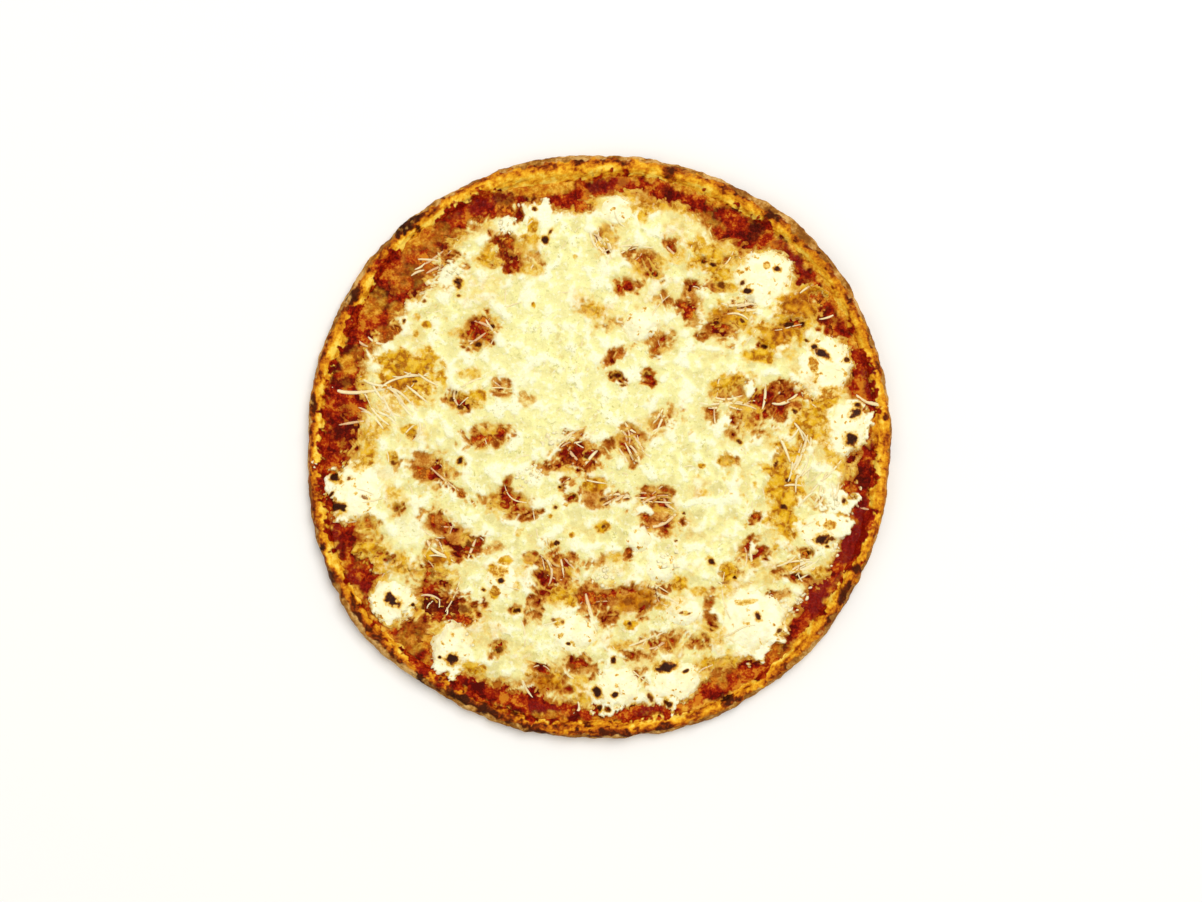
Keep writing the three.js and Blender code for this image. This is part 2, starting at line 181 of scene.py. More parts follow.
# Places where the cheese is thin and browned; their last number is a tint from red (0) to tan (1).
THIN_PATCHES = [
    (-47, 99, 9.5, 5, -60, 1, 0.05), (-55, 97, 5, 5, 0, 0.5, 0.9), (-33, 94, 5, 4, -30, 0.5, 0.85),
    (-61, 58, 9, 6.5, 60, 0.92, 0.4), (-88, 90, 13, 7, -20, 0.55, 0.6), (-76, 96, 7, 3.5, -20, 0.65, 0.5),
    (-50, 30, 5, 4, -35, 0.66, 0.55), (3, 105, 6, 5, 70, 0.5, 0.75), (20, 97, 6, 4, -20, 0.7, 0.6),
    (26, 91, 6, 4, -40, 0.75, 0.6), (12, 81, 5, 3, -15, 0.9, 0.3), (20, 82, 3, 2, 20, 0.65, 0.5),
    (36, 103, 3.5, 3, 60, 0.7, 0.35), (47, 80, 5, 3, 90, 0.75, 0.45), (45, 70, 6, 4, -20, 0.95, 0.35),
    (33, 74, 5, 4, 0, 0.55, 0.7), (-5, 70, 6, 3.5, -20, 0.55, 0.8), (6, 63, 6, 3, 0, 0.45, 0.75),
    (30, 54, 7, 6, 60, 0.48, 0.85), (8, 46, 7, 3.5, 35, 0.75, 0.3), (9, 35, 5, 2.5, -20, 0.85, 0.1),
    (24, 35, 4.5, 3.5, 60, 0.8, 0.1), (58, 61, 6, 5, 40, 0.6, 0.7), (52, 56, 4, 2.5, -30, 0.65, 0.7),
    (54, 94, 5, 2.5, -15, 0.65, 0.7), (60, 82, 5, 3, -20, 0.85, 0.4), (67, 56, 5, 3, 70, 0.7, 0.55),
    (68, 65, 8, 4.5, 0, 0.7, 0.7), (72, 70, 4, 2.5, 10, 0.8, 0.4), (84, 51, 4, 2, 0, 0.5, 0.4),
    (97, 62, 7, 3, 0, 0.9, 0.3), (118, 66, 10, 7, -25, 1, 0.1), (-96, 7, 2.8, 2.8, 0, 0.65, 0.6),
    (-74, 24, 4.5, 3.5, -30, 0.8, 0.5), (-69, 21, 3.5, 3.5, 0, 0.8, 0.5), (-60, 4, 9, 5, 5, 0.8, 0.6),
    (-49, 7, 5, 3.5, 20, 0.9, 0.4), (-86, -11, 10, 6.5, -15, 0.8, 0.7), (-74, -22, 9, 2, -35, 0.7, 0.5),
    (-103, -31, 3.5, 3, 60, 0.6, 0.6), (-47, -28, 9, 6, -15, 0.86, 0.8),
    (-36, -35, 5, 2.5, 15, 0.85, 0.5), (-81, -41, 9, 5, -35, 0.95, 0.5), (-69, -51, 8, 5.5, -10, 1, 0.2),
    (-84, -57, 5, 4, 0, 0.7, 0.8), (-108, -58, 5, 3, 10, 0.8, 0.4), (-105, -8, 4, 2, -50, 0.65, 0.6),
    (-82, -87, 9, 3.5, 0, 0.9, 0.35), (-118, -43, 6, 6, 0, 0.65, 0.8), (-37, 24, 5, 3, -20, 0.4, 0.8),
    (-10, -4, 9, 6.5, -20, 1, 0.05), (-21, -9, 6, 3, 10, 0.78, 0.35), (-31, -12, 5, 3, -20, 0.38, 0.6),
    (-14, 5, 9, 3, 20, 0.42, 0.6), (4, -1, 4, 3.5, 90, 0.62, 0.7), (15, 8, 5.5, 4, 10, 0.57, 0.7),
    (17, -3, 7, 4.5, 75, 0.56, 0.8), (32, 13, 8, 5, 30, 0.42, 0.7), (-2, -24, 8, 6, -30, 0.85, 0.6),
    (-17, -19, 5, 2.5, 20, 0.65, 0.4), (-14, -26, 3, 2, 0, 0.85, 0.2), (28, -24, 8, 4, 5, 0.85, 0.6),
    (31, -38, 9, 6, -25, 0.78, 0.35), (15, -55, 3.5, 2, 80, 0.75, 0.4), (90, 24, 13, 6.5, 5, 0.97, 0.25),
    (75, 14, 9, 8, 0, 0.68, 0.75), (57, 16, 5, 4, 20, 0.65, 0.8), (67, 28, 9, 5, 10, 0.6, 0.8),
    (67, 7, 4, 2, 0, 0.55, 0.8), (92, -8, 9, 4, 80, 0.4, 0.8), (94, -30, 7, 5, 60, 0.35, 0.8),
    (104, 4, 9, 5, 70, 0.3, 0.85), (66, -7, 5, 3, -10, 0.55, 0.75), (79, -36, 3.2, 2.4, 60, 0.85, 0.35),
    (78, -55, 7, 6, 70, 0.8, 0.65), (112, -28, 6, 5, 0, 0.3, 0.85), (103, -54, 6, 3, -10, 0.7, 0.6),
    (97, -61, 8, 3.5, 20, 0.65, 0.7), (102, -67, 5, 3, -40, 0.85, 0.35), (90, -77, 6, 4, 0, 0.55, 0.7),
    (66, -64, 5, 4, 30, 0.55, 0.85), (-78, -83, 15, 6.5, -5, 1.05, 0.05), (-85, -71, 10, 8, 0, 0.74, 0.8),
    (-98, -97, 11, 8, 70, 1, 0.5), (-51, -103, 5, 3.5, 50, 0.75, 0.5), (-52, -65, 4.5, 3, 70, 0.75, 0.6),
    (-43, -83, 3.5, 2, 20, 0.7, 0.5), (-22, -63, 10, 8.5, -20, 0.86, 0.3),
    (-33, -57, 5, 3.5, 0, 0.8, 0.6), (-29, -75, 8, 5, 40, 0.75, 0.4), (-33, -83, 6, 4.5, 70, 0.75, 0.6),
    (-4, -78, 8, 6, -30, 0.85, 0.35), (5, -86, 7, 3.5, 30, 0.75, 0.4), (18, -79, 11, 6.5, 0, 0.86, 0.6),
    (32, -73, 4, 2.5, 0, 0.75, 0.45), (41, -70, 4, 4, 0, 0.6, 0.7), (31, -100, 16, 4, 10, 0.66, 0.7),
    (22, -104, 8, 3.5, 10, 0.68, 0.65), (55, -79, 6, 2.5, 80, 0.7, 0.6), (57, -89, 5, 3, -60, 0.7, 0.5),
    (53, -100, 5, 3, 0, 0.62, 0.75), (-31, -113, 5, 3, 0, 0.9, 0.25), (-26, -120, 10, 6, 0, 0.5, 0.9),
    (-8, -112, 7.5, 5, -10, 0.74, 0.7), (-17, -124, 6, 2.5, 20, 0.8, 0.3), (22, -118, 4, 3, 80, 0.6, 0.6),
    (63, -112, 10, 4, 10, 0.7, 0.75), (-54, -51, 5, 3, 20, 0.4, 0.8), (-46, -17, 3, 2, 60, 0.5, 0.7),
    (-3, -59, 6, 4, 30, 0.4, 0.7), (-83, 84, 7, 5, 20, 0.35, 0.7), (31.5, 55, 2.6, 3, 90, 0.66, 0.4),
    (-41, 118, 5, 2, 70, 0.95, 0.5), (-50, 121, 9, 4, 8, 1, 0.15), (-8, 122, 5, 3, 0, 0.9, 0.4),
    (-110, 60, 7, 5.5, 0, 1, 0.35), (10, -25, 6, 2.5, 0, 0.58, 0.7), (-74, -88, 10, 3, -5, 0.8, 0.5),
    (71, 99, 8, 4, 20, 0.62, 0.75), (73, 72, 6, 3.5, 0, 0.65, 0.7), (88, 16, 6, 4, 0, 0.8, 0.4),
    (-80, -48, 6, 4, 0, 0.85, 0.5), (-99, -64, 8, 3, -15, 0.52, 0.85), (-7, -88, 5, 3, -60, 0.5, 0.7),
    (49, 65, 5, 4, -20, 0.58, 0.75),
]

# Browned amber patches.
AMBER_PATCHES = [
    (-97, 38, 15, 11, 0, 1), (3, 105, 7, 6, 60, 0.45), (55, 95, 11, 7, 0, 0.75), (27, 92, 8, 7, 0, 0.55),
    (67, 66, 9, 6, 0, 0.85), (90, 57, 11, 7, 0, 1), (82, 46.5, 6.5, 4.5, 0, 0.9),
    (102, 71, 12, 10, 40, 1), (66, 32, 10, 5, 20, 0.75), (108.5, 42, 4.4, 2.8, 90, 1),
    (94, -22, 25, 8.5, 90, 0.95), (106, 12, 13, 8, 60, 0.8), (115, 24, 9, 5, 20, 0.9),
    (-2, -20, 6, 4, 0, 0.95), (2, -41, 3.6, 3.4, 0, 0.9), (16, -91, 3.4, 3.2, 0, 0.9),
    (18, -77, 10, 6, 0, 0.8), (-18, -76, 10, 5, -5, 0.75), (41, -70, 4, 4, 0, 0.8),
    (-26, -120, 10, 6, 0, 0.75), (66, -64, 4.5, 4.5, 0, 0.9), (98, -61, 7, 3.5, 0, 0.7),
    (-120, -44, 8, 7, 60, 0.62), (-84, -66, 10, 6, 0, 0.6), (-53, -74, 3.2, 2.6, 90, 0.95),
    (-52, -63, 4.5, 4, 0, 0.8), (-48, -58, 4, 2.5, 0, 0.8), (-103, -29, 6, 4.5, 60, 0.42),
    (-65, 25, 6, 5, 0, 0.85), (-66, 37, 6, 4, 0, 0.5), (-61, 58, 9, 6, 60, 0.5), (-73, 57, 4, 3, 0, 0.4),
    (-88, 62, 2.8, 2, 0, 0.75), (-34, 112, 5, 3, 90, 0.8), (-35, 106, 6, 2.5, 0, 0.6),
    (-40, 101, 9, 7, 0, 0.4), (-55, 97, 6, 6, 0, 0.7), (-2, 69, 7, 4, -20, 0.6), (22, 117, 4, 3, 90, 0.7),
    (79, -36, 3.2, 2.4, 60, 0.4), (65, -7, 5, 2.5, 0, 0.7), (52, -24, 5, 2.5, 0, 0.45),
    (52, -10, 2, 1.6, 0, 0.8), (-21, -89, 4, 2.5, 0, 0.6), (43.5, -84.5, 3, 1.4, 0, 0.55),
    (85, 92, 2.4, 2, 90, 0.8), (117, -40, 3.2, 2.6, 0, 0.85), (75, -79, 6, 1.6, 10, 0.6),
    (-98, -100, 10, 8, 70, 0.5), (62, -110, 11, 4, 10, 0.7), (8, -56, 5, 3, 0, 0.5),
    (-120, 12, 9, 6, -40, 0.45), (-96, 8, 4, 3.5, 0, 0.75), (-105, -5, 3, 3, 0, 0.7),
    (-60, 80, 15, 9, 20, 0.22), (-94, 55, 11, 7, 0, 0.2), (85, -64, 9, 7, 0, 0.3),
    (41, 112, 9, 7, 0, 0.25), (56, -97, 9, 8, 0, 0.4), (3, 65, 9, 7, 0, 0.28), (-62, -92, 12, 8, 0, 0.28),
    (40, -80, 8, 6, 0, 0.25), (60, -112, 14, 6, 10, 0.35), (104, 30, 10, 5, 30, 0.3),
    (114, 8, 4, 14, 8, 0.6), (121, -8, 8, 4, -30, 0.55), (-108, 23, 12, 9, 0, 0.4),
    (-112, -55, 7, 9, 0, 0.3), (-40, -106, 8, 8, 0, 0.22), (8, -60, 9, 6, 0, 0.25),
    (-8, 72, 9, 6, -20, 0.3), (30, 80, 14, 8, 0, 0.2), (-97, 27, 12, 6, -20, 0.6),
    (-116, -53, 8, 6, 0, 0.75), (-118, 3, 5, 6, 0, 0.55), (-82, -57, 7, 5, 0, 0.95),
    (-64, -113, 6, 4.5, 0, 0.8), (-48, -30, 8, 5, -15, 0.5), (-35, -57, 4, 3, 0, 0.7),
    (-10, -121, 6, 4, 0, 0.5), (10, -101, 7, 2.5, 5, 0.5), (51, -74, 5, 3, 0, 0.5),
    (63, -73, 5, 4, 0, 0.45), (80, -57, 5, 4, 0, 0.45), (66, 97, 8, 5, -20, 0.5),
    (-93.5, 57.5, 1.4, 2, 0, 0.55), (-93, 66, 2, 2, 0, 0.45), (-25, -35.5, 1.3, 1.1, 0, 0.9),
    (-17, -29.5, 1.6, 1, 0, 0.7), (-14, -45, 1.6, 1.5, 0, 0.9), (-24.5, -50, 1.2, 1.6, 0, 0.8),
    (-41.5, -44, 1.8, 2.2, 0, 0.45), (-42, -71, 2, 2.5, 0, 0.5), (-12.5, 96.5, 1.3, 1, 0, 0.7),
    (-33.5, 72, 1, 1.6, 20, 0.8), (97, -43, 5, 5, 0, 0.45), (-119, -5, 7, 5, 20, 0.75),
    (96, 48, 5, 4, 0, 0.45), (-104, -24, 5, 4, 0, 0.5), (64, 81, 6, 3, 0, 0.65),
    (112, -64, 6, 4, 0, 0.65), (-100, -60, 9, 6, -15, 0.6), (24, 123, 8, 5, 0, 0.6),
    (-90, 32, 8, 6, 0, 0.8), (-104, 33, 8, 6, 0, 1), (-39, -64, 4, 4, 0, 0.3), (63, 88, 6, 5, 0, 0.7),
    (-34, 90, 7, 3.5, -10, 0.5), (48, 103, 7, 5, 0, 0.6), (-9, -128, 5, 3, 0, 0.6),
    (31, -80, 5, 3, 0, 0.5), (40, 96, 6, 4, 0, 0.5), (-112, 10, 7, 5, -30, 0.5), (-89, 6, 5, 5, 0, 0.3),
]

# Amber places that are baked to a deeper orange brown.
DEEP_AMBERS = [
    (18, -78, 14, 9, 0, 1), (92, 57, 9, 5, 10, 0.8), (102, 73, 11, 9, 0, 0.8), (-30, -122, 12, 7, 10, 1),
    (63, 66, 7, 6, 0, 0.8), (92, 25, 8, 6, 0, 0.6), (-104, 31, 9, 4, 0, 0.7), (-82, -57, 6, 4, 0, 0.9),
    (-61, 58, 9, 8, 60, 0.9), (1, -24, 7, 5, 0, 0.8), (24, 127, 7, 6, 0, 0.8),
]

# Charred and dark brown spots.
CHAR_SPOTS = [
    (90.5, 90, 1.6, 1.3, 0, 1), (75, 79, 2.2, 1.5, 0, 1), (72.5, 83, 1.7, 1.3, 60, 0.7),
    (112, 48, 4.8, 2, -38, 1), (109, 50.5, 2, 1.6, 0, 1), (105, 54, 1.2, 0.8, -20, 0.9),
    (125.5, 44, 1.7, 1.5, 0, 0.8), (130, 17, 3, 2.4, 60, 0.85), (131, 21, 1.7, 1.4, 0, 0.9),
    (128, 3.5, 3.4, 2.8, -45, 0.95), (-134.5, -16, 2.9, 2.2, -40, 1), (-136.5, -24.5, 3, 0.7, 50, 1),
    (-134, -31, 4.6, 3, -5, 1), (-127, -16, 1.3, 1.6, 0, 0.55), (-119, -26, 2.4, 1, -20, 0.45),
    (-116, -8.5, 1.6, 0.9, 0, 0.42), (-129, -9, 1.2, 1, 0, 0.8), (-105, -78.5, 4, 2.2, -20, 1),
    (-107, -76, 2, 2.2, 0, 0.9), (-95, -80.5, 0.9, 0.9, 0, 0.8), (-75, -108, 2.9, 2.6, 0, 1),
    (-81, -107, 0.9, 0.8, 0, 0.9), (-50, -68, 1.7, 1.3, 0, 1), (-51, -103, 3, 2.4, 60, 0.6),
    (-42, -83.5, 2, 1.2, 20, 0.9), (-59, -73, 1.2, 0.9, -40, 0.8), (-72, 83, 2.9, 1.9, 100, 0.9),
    (-71.5, 77, 1.2, 1, 0, 0.6), (-28, 105, 2.1, 1.6, 0, 0.95), (-25, 109, 2, 0.8, 60, 0.7),
    (-33, 121, 1.4, 1, 0, 0.8), (-71, -7.5, 2.1, 1.4, 70, 1), (-22, -49, 1.7, 1.2, 0, 0.9),
    (-20, -21, 1.1, 0.8, 0, 0.9), (-13.5, -26, 2.2, 1.3, 10, 0.8), (-22, -31, 1.2, 1.2, 0, 0.7),
    (57, -58.5, 2, 1.7, -40, 0.85), (69, -66.5, 0.8, 0.8, 0, 1), (43, -34, 0.8, 0.7, 0, 0.8),
    (39, -48, 0.9, 0.7, 0, 0.8), (7, -108.5, 1.8, 1.5, 60, 0.9), (34, -112, 5.2, 2.4, 5, 1),
    (44, -114, 1.7, 0.8, 20, 0.8), (-1, -125, 2.9, 2, -50, 1), (8, -126, 1.6, 1.4, 0, 1),
    (0, -133.5, 1.9, 1.5, 60, 0.95), (4, -134, 1.7, 0.9, -10, 0.9), (17, -133, 2.2, 1.7, 40, 0.95),
    (26, -127.5, 2.8, 1.3, -60, 0.7), (34.5, -131, 2.6, 2, -50, 0.85), (-16, -100, 1.1, 0.7, 0, 0.9),
    (80, -86, 2.2, 1.5, -60, 0.85), (91.5, -94, 2.2, 1.4, 60, 0.7), (113, -47, 3.7, 2.4, 15, 0.9),
    (116, -51, 1.1, 0.7, 0, 1), (118, -47, 1.8, 1.2, 0, 0.6), (124.5, -27.5, 1.6, 1.3, 90, 0.8),
    (106, -54.5, 2.3, 1.5, 0, 0.8), (101, -66, 2.6, 2, -50, 0.7), (71, 2.5, 1.5, 1.2, -40, 0.8),
    (96, -17, 1.6, 1.3, 0, 0.8), (90, -9, 2.2, 1.4, 60, 0.7), (94, -31, 2.2, 1.6, -20, 0.8),
    (99, 18, 2, 1.2, -40, 0.8), (53, 94, 1.2, 1, 0, 0.9), (57.5, 92.5, 1.9, 1.1, -20, 0.9),
    (62, 82, 2.6, 1.8, -10, 0.6), (28, 87.5, 1.7, 1.4, 0, 0.9), (46, 69, 2.8, 2, -30, 0.7),
    (10, 81, 2, 1.4, 0, 0.6), (84, 51, 1.8, 1.2, 0, 0.9), (98, 62, 6, 1.7, 0, 0.85),
    (73, 64, 2, 1.1, -30, 0.8), (60, 63, 1.5, 1.2, 0, 0.8), (-62, 52, 2.2, 2, 0, 0.8),
    (-54, 61, 1.7, 1, -40, 0.8), (-99.5, 64, 1.3, 0.9, 80, 0.9), (-89, 74, 1.5, 0.9, 20, 0.6),
    (-94, 33, 1.3, 1, 20, 0.8), (-75, 24, 1.9, 1.6, 0, 0.7), (-71, 20, 2.1, 1.5, 0, 0.7),
    (-105, -8.5, 2, 1.2, -40, 0.6), (9, 36, 2.2, 1.4, 0, 0.8), (6, 35, 1.6, 0.9, 30, 0.7),
    (12, 31, 2, 0.8, 0, 0.6), (24, 36, 2, 1.6, 60, 0.6), (2, -41, 1.2, 1, 40, 0.7),
    (15.5, -90, 1.3, 1, 0, 0.8), (-42, -28, 1.8, 1.4, 0, 0.7), (-49, -30, 2.2, 1.4, 0, 0.6),
    (-6, -5, 2.4, 1.6, -40, 0.7), (2, -27, 3, 1.2, 20, 0.6), (-87, -81, 4.6, 3.4, 0, 0.7),
    (-79, -84, 3, 2.8, 60, 0.75), (-70, -83, 5, 2.4, -10, 0.5), (-44, 96, 4, 2.2, -55, 0.4),
    (-67, -50, 3, 2.4, 0, 0.6), (-103, -32, 2.2, 1.6, 40, 0.42), (-27, -117, 3, 1.8, 0, 0.42),
    (41.8, -84.3, 1.3, 0.9, 0, 0.45), (45.4, -84.7, 1.2, 0.8, 0, 0.45), (-23.5, -88.3, 1.7, 1.3, 0, 0.45),
    (-18.8, -88.8, 1.6, 1.1, 0, 0.45), (63, -69.5, 2.6, 0.9, 0, 0.42), (-96, 36, 2.6, 1.2, 30, 0.4),
    (-88, 40, 1.8, 1.2, 80, 0.4), (-103, 41, 1.6, 1.3, 0, 0.42), (23, -81, 4, 2.6, 10, 0.42),
    (14, -79, 3.5, 2, 0, 0.4), (-64, 58, 2.4, 3.4, 0, 0.45), (-58, 56, 2.4, 2, 0, 0.42),
    (-108, -58, 3, 1.6, 0, 0.42), (-100, 31, 2, 1.4, 20, 0.42), (-83, -57, 3, 1.6, 20, 0.42),
    (-85, -64, 2.2, 3, 0, 0.42), (-105, -8.5, 1.5, 1.2, 0, 0.45),
]

# Soft white curd in the melted cheese; under a strength of 0.8 it is only a film over the sauce.
WHITE_CURDS = [
    (23, -32.5, 5, 3.4, 0, 1), (22, -47, 7, 6, 0, 0.9), (30, -59, 8, 6, 0, 0.8),
    (-31, -15, 6, 4, 20, 0.8), (64, 13.5, 4.2, 3.2, 90, 1), (76.5, 28, 5, 2.6, 88, 1),
    (-115, 45, 9, 4, 80, 0.8), (-77, 87, 10, 7, 20, 0.9), (25, 63, 11, 6, 0, 0.8),
    (-48, 112.5, 7, 4.5, 10, 0.95), (-29, 119, 11, 7.5, -10, 1), (16, 36, 5, 4, 0, 0.9),
    (2, 89, 4, 3, 0, 0.7), (-40, 36, 6, 6, 0, 0.5), (-15, -95, 12, 8, 0, 0.8), (-48, -58, 8, 5, 0, 0.9),
    (98, 12, 6, 4, -30, 0.6), (-22, 3, 5, 3, 20, 0.5), (2, -64, 8, 5, 0, 0.5), (43, -84, 8, 6, 0, 0.6),
    (-74, -41, 4, 5, 0, 0.6), (95, -82, 6, 5, 0, 0.6), (-97, -43, 9, 7, 0, 0.5),
    (-110, -14, 9, 6, 0, 0.5), (-132, -23, 11, 17, 0, 1), (4, -130, 12, 8, 0, 1), (34, -127, 12, 8, 0, 1),
    (20, -128, 7, 4, 0, 0.95), (123, -28, 10, 9, 0, 1), (119, 2, 5, 6, 0, 0.9), (132, 12, 8, 11, 0, 1),
    (-77, -111, 8, 9, 0, 1), (78, -53, 2.6, 4.2, 0, 1), (-95, 73, 6, 4, 20, 0.9),
    (-111, -61, 8, 5, -20, 0.88), (123, -41, 8, 8, 0, 1), (80, -102, 11, 8, 25, 1), (90, -95, 6, 6, 0, 1),
    (30, -33, 7, 6, 0, 0.77), (-3, -25, 8, 6, 0, 0.77), (-73, -47, 8, 7, 0, 0.77),
    (-91, -7, 8, 6, 0, 0.76), (-22, -64, 11, 9, 0, 0.74), (12, -80, 9, 6, 0, 0.76),
]

# Wet deep red sauce.
WET_PATCHES = [
    (128.5, -46, 16, 6.5, 62, 1), (111, -77, 14, 6.5, 55, 1), (138, 32, 10, 3.5, 100, 0.8),
    (139, 3, 6, 3, 70, 0.6), (-135, -51, 12, 5, 100, 0.8), (-126, -69, 10, 5, 130, 0.7),
    (24, -134, 8, 3, 25, 0.9), (2, 134, 11, 4, 0, 0.6), (97, 98, 11, 4, -45, 0.7),
    (-28, -134, 9, 3, -10, 0.8), (-62, 123, 14, 4, 20, 0.6),
]

# Dark, dried sauce.
DARK_PATCHES = [
    (79, 109, 6, 5, 30, 1), (-49, 127, 7, 4, 0, 0.8), (-131, 33, 9, 3, 0, 1), (-130, 8, 8, 14, 0, 0.6),
    (132, -14, 8, 8, 0, 0.7), (117, 66, 8, 5, -20, 0.6), (-3, 134, 8, 4, 0, 0.6), (35, 130, 6, 3, 0, 0.7),
    (-110, 79, 7, 5, 0, 0.7), (-130, -54, 3, 8, 0, 0.7), (95, -99, 7, 5, 45, 0.6),
    (-56, -120, 10, 4, -30, 0.5), (105, 84, 5, 4, 30, 0.7), (-81, -82, 13, 5, -5, 1),
    (-46, 98, 9, 4, -60, 0.8), (-67, -51, 5, 4, -10, 0.5), (-46, -29, 6, 3, -20, 0.4),
]

# Golden places inside the ring of sauce.
GOLD_PATCHES = [
    (-127, 43, 6, 6, 0, 1), (-117, 73, 9, 7, 20, 0.7), (-100, 103, 8, 3, 20, 0.8),
    (-97, -100, 10, 9, 70, 0.55), (60, -117, 10, 5, 15, 0.6), (-122, -54, 3, 7, 0, 0.4),
    (55, 114, 8, 5, -20, 0.6), (-86, 106, 14, 7, 40, 0.45), (-105, 62, 8, 6, 30, 0.4),
    (-96, 88, 12, 8, 30, 0.35), (-68, -112, 6, 4, -30, 0.7), (-103, 71, 6, 4, 30, 0.6),
    (-88, -101, 5, 8, 0, 0.9), (88, -104, 6, 4, 45, 0.6), (-24, -137, 8, 2.5, 0, 0.7),
]

# Radius, by degrees, out to which the sauce was spread.
SAUCE_REACH = [
    (0, 138.5), (6, 139), (10, 144), (19, 144.5), (22, 139), (27, 142), (33, 137), (39, 141), (46, 141),
    (53, 142), (60, 139.5), (66, 137), (75, 139), (84, 138), (90, 138.5), (94, 135), (98, 130.5),
    (106, 131.5), (109, 136), (112, 143), (120, 144), (126, 142), (131, 139), (134, 140), (137, 145),
    (143, 145), (148, 140), (152, 144), (158, 141), (162, 143), (168, 142.5), (180, 142.5), (190, 144),
    (205, 144.5), (220, 144.5), (228, 145.5), (235, 143), (242, 144), (250, 142.5), (262, 141),
    (270, 139.5), (276, 138.5), (283, 141.5), (293, 142.5), (300, 143), (306, 142.5), (315, 139),
    (322, 141.5), (331, 141.5), (336, 143), (347, 144), (350, 140), (354, 143.5), (358, 141),
]

# Radius, by degrees, at which the golden band ends and the dull outside of the rim begins: floury, and
# darkened with painted shading where the edge lies in shadow.
GOLD_REACH = [
    (0, 148.5), (30, 149), (45, 148.5), (55, 147.5), (70, 147.5), (90, 146.5), (102, 146.5), (112, 149),
    (125, 149.5), (140, 149), (150, 148), (160, 150), (175, 148.5), (185, 149.5), (200, 151.5),
    (218, 151.5), (228, 149), (240, 148), (258, 149), (270, 148), (290, 148), (315, 147.5), (340, 148),
]

# Burnt places on the rim.
RIM_BURNS = [
    (-97, 112, 6, 5, 50, 1), (-126, 76, 6, 4, 60, 0.8), (-80, 128, 4, 2, 35, 0.7),
    (65, -128, 4, 3, 20, 0.9), (124, -73, 5, 3, 60, 0.7), (130, -62, 3, 2, 0, 0.8),
    (-142, -52, 3, 2.5, 0, 1), (-136, -65, 5, 3, -60, 0.8), (-91, -118, 6, 3, -40, 0.9),
    (-71, -128, 7, 3, -30, 0.9), (-57, -135, 6, 3, -20, 0.8), (-145, 23, 4, 2, 90, 0.7),
    (145, 15, 2, 2, 0, 0.7), (35, 138, 5, 2.5, 100, 0.6), (86, 117, 4, 3, 0, 0.7),
    (-7, -140, 4, 3, 0, 0.7), (18, 134, 4, 3, 0, 0.7), (118, 78, 3, 3, 0, 0.5), (1, -144, 3, 1.5, 0, 0.6),
    (-33, -145, 9, 1.5, -10, 0.8), (-60, -132, 34, 8, -25, 0.5), (5, -144, 30, 5, 0, 0.5),
    (-14, -142, 11, 5, 0, 0.5), (-122, -88, 28, 6, -55, 0.4), (-146, -20, 5, 22, 5, 0.3),
]

# Clusters of white crumbs: x, y, half length, half width, tilt in degrees, count.
CRUMB_CLUSTERS = [
    (-36, -15, 8, 5, 30, 26), (36, -56, 7, 6, 20, 16), (119, -56, 2.5, 7, -25, 9),
    (103, -78, 3, 8, -35, 9), (97, -80, 6, 5, 0, 12), (-144, -9, 2.5, 1.6, 10, 4), (-24, 4, 7, 3, 20, 12),
    (-76, 90, 8, 5, 10, 12), (118, -28, 5, 4, 0, 10), (2, -66, 8, 5, 0, 12), (-46, 112, 6, 5, 0, 10),
    (-66, -99, 6, 4, 0, 6),
]

# Bundles of finer shreds: x, y, half length, half width, heading in degrees, count.
SHRED_BUNDLES = [
    (-107, 21, 15, 8, -42, 11), (-100, 34, 12, 5, 10, 3), (101, -2, 8, 14, 62, 8),
    (112, -15, 11, 7, 45, 6), (15, 0, 7, 10, -62, 6), (32, 13, 8, 6, 40, 3), (-12, 4, 9, 5, 28, 7),
    (1, 104, 6, 8, -68, 7), (12, -26, 12, 3, 5, 6), (-82, 93, 11, 6, 15, 4), (103, -62, 9, 6, 22, 8),
    (64, 22, 9, 5, 5, 4), (-82, -50, 9, 7, -35, 4), (30, -100, 12, 6, 25, 5), (117, -25, 6, 5, 60, 5),
    (20, 98, 8, 6, 10, 2), (68, 70, 10, 4, 5, 3),
]

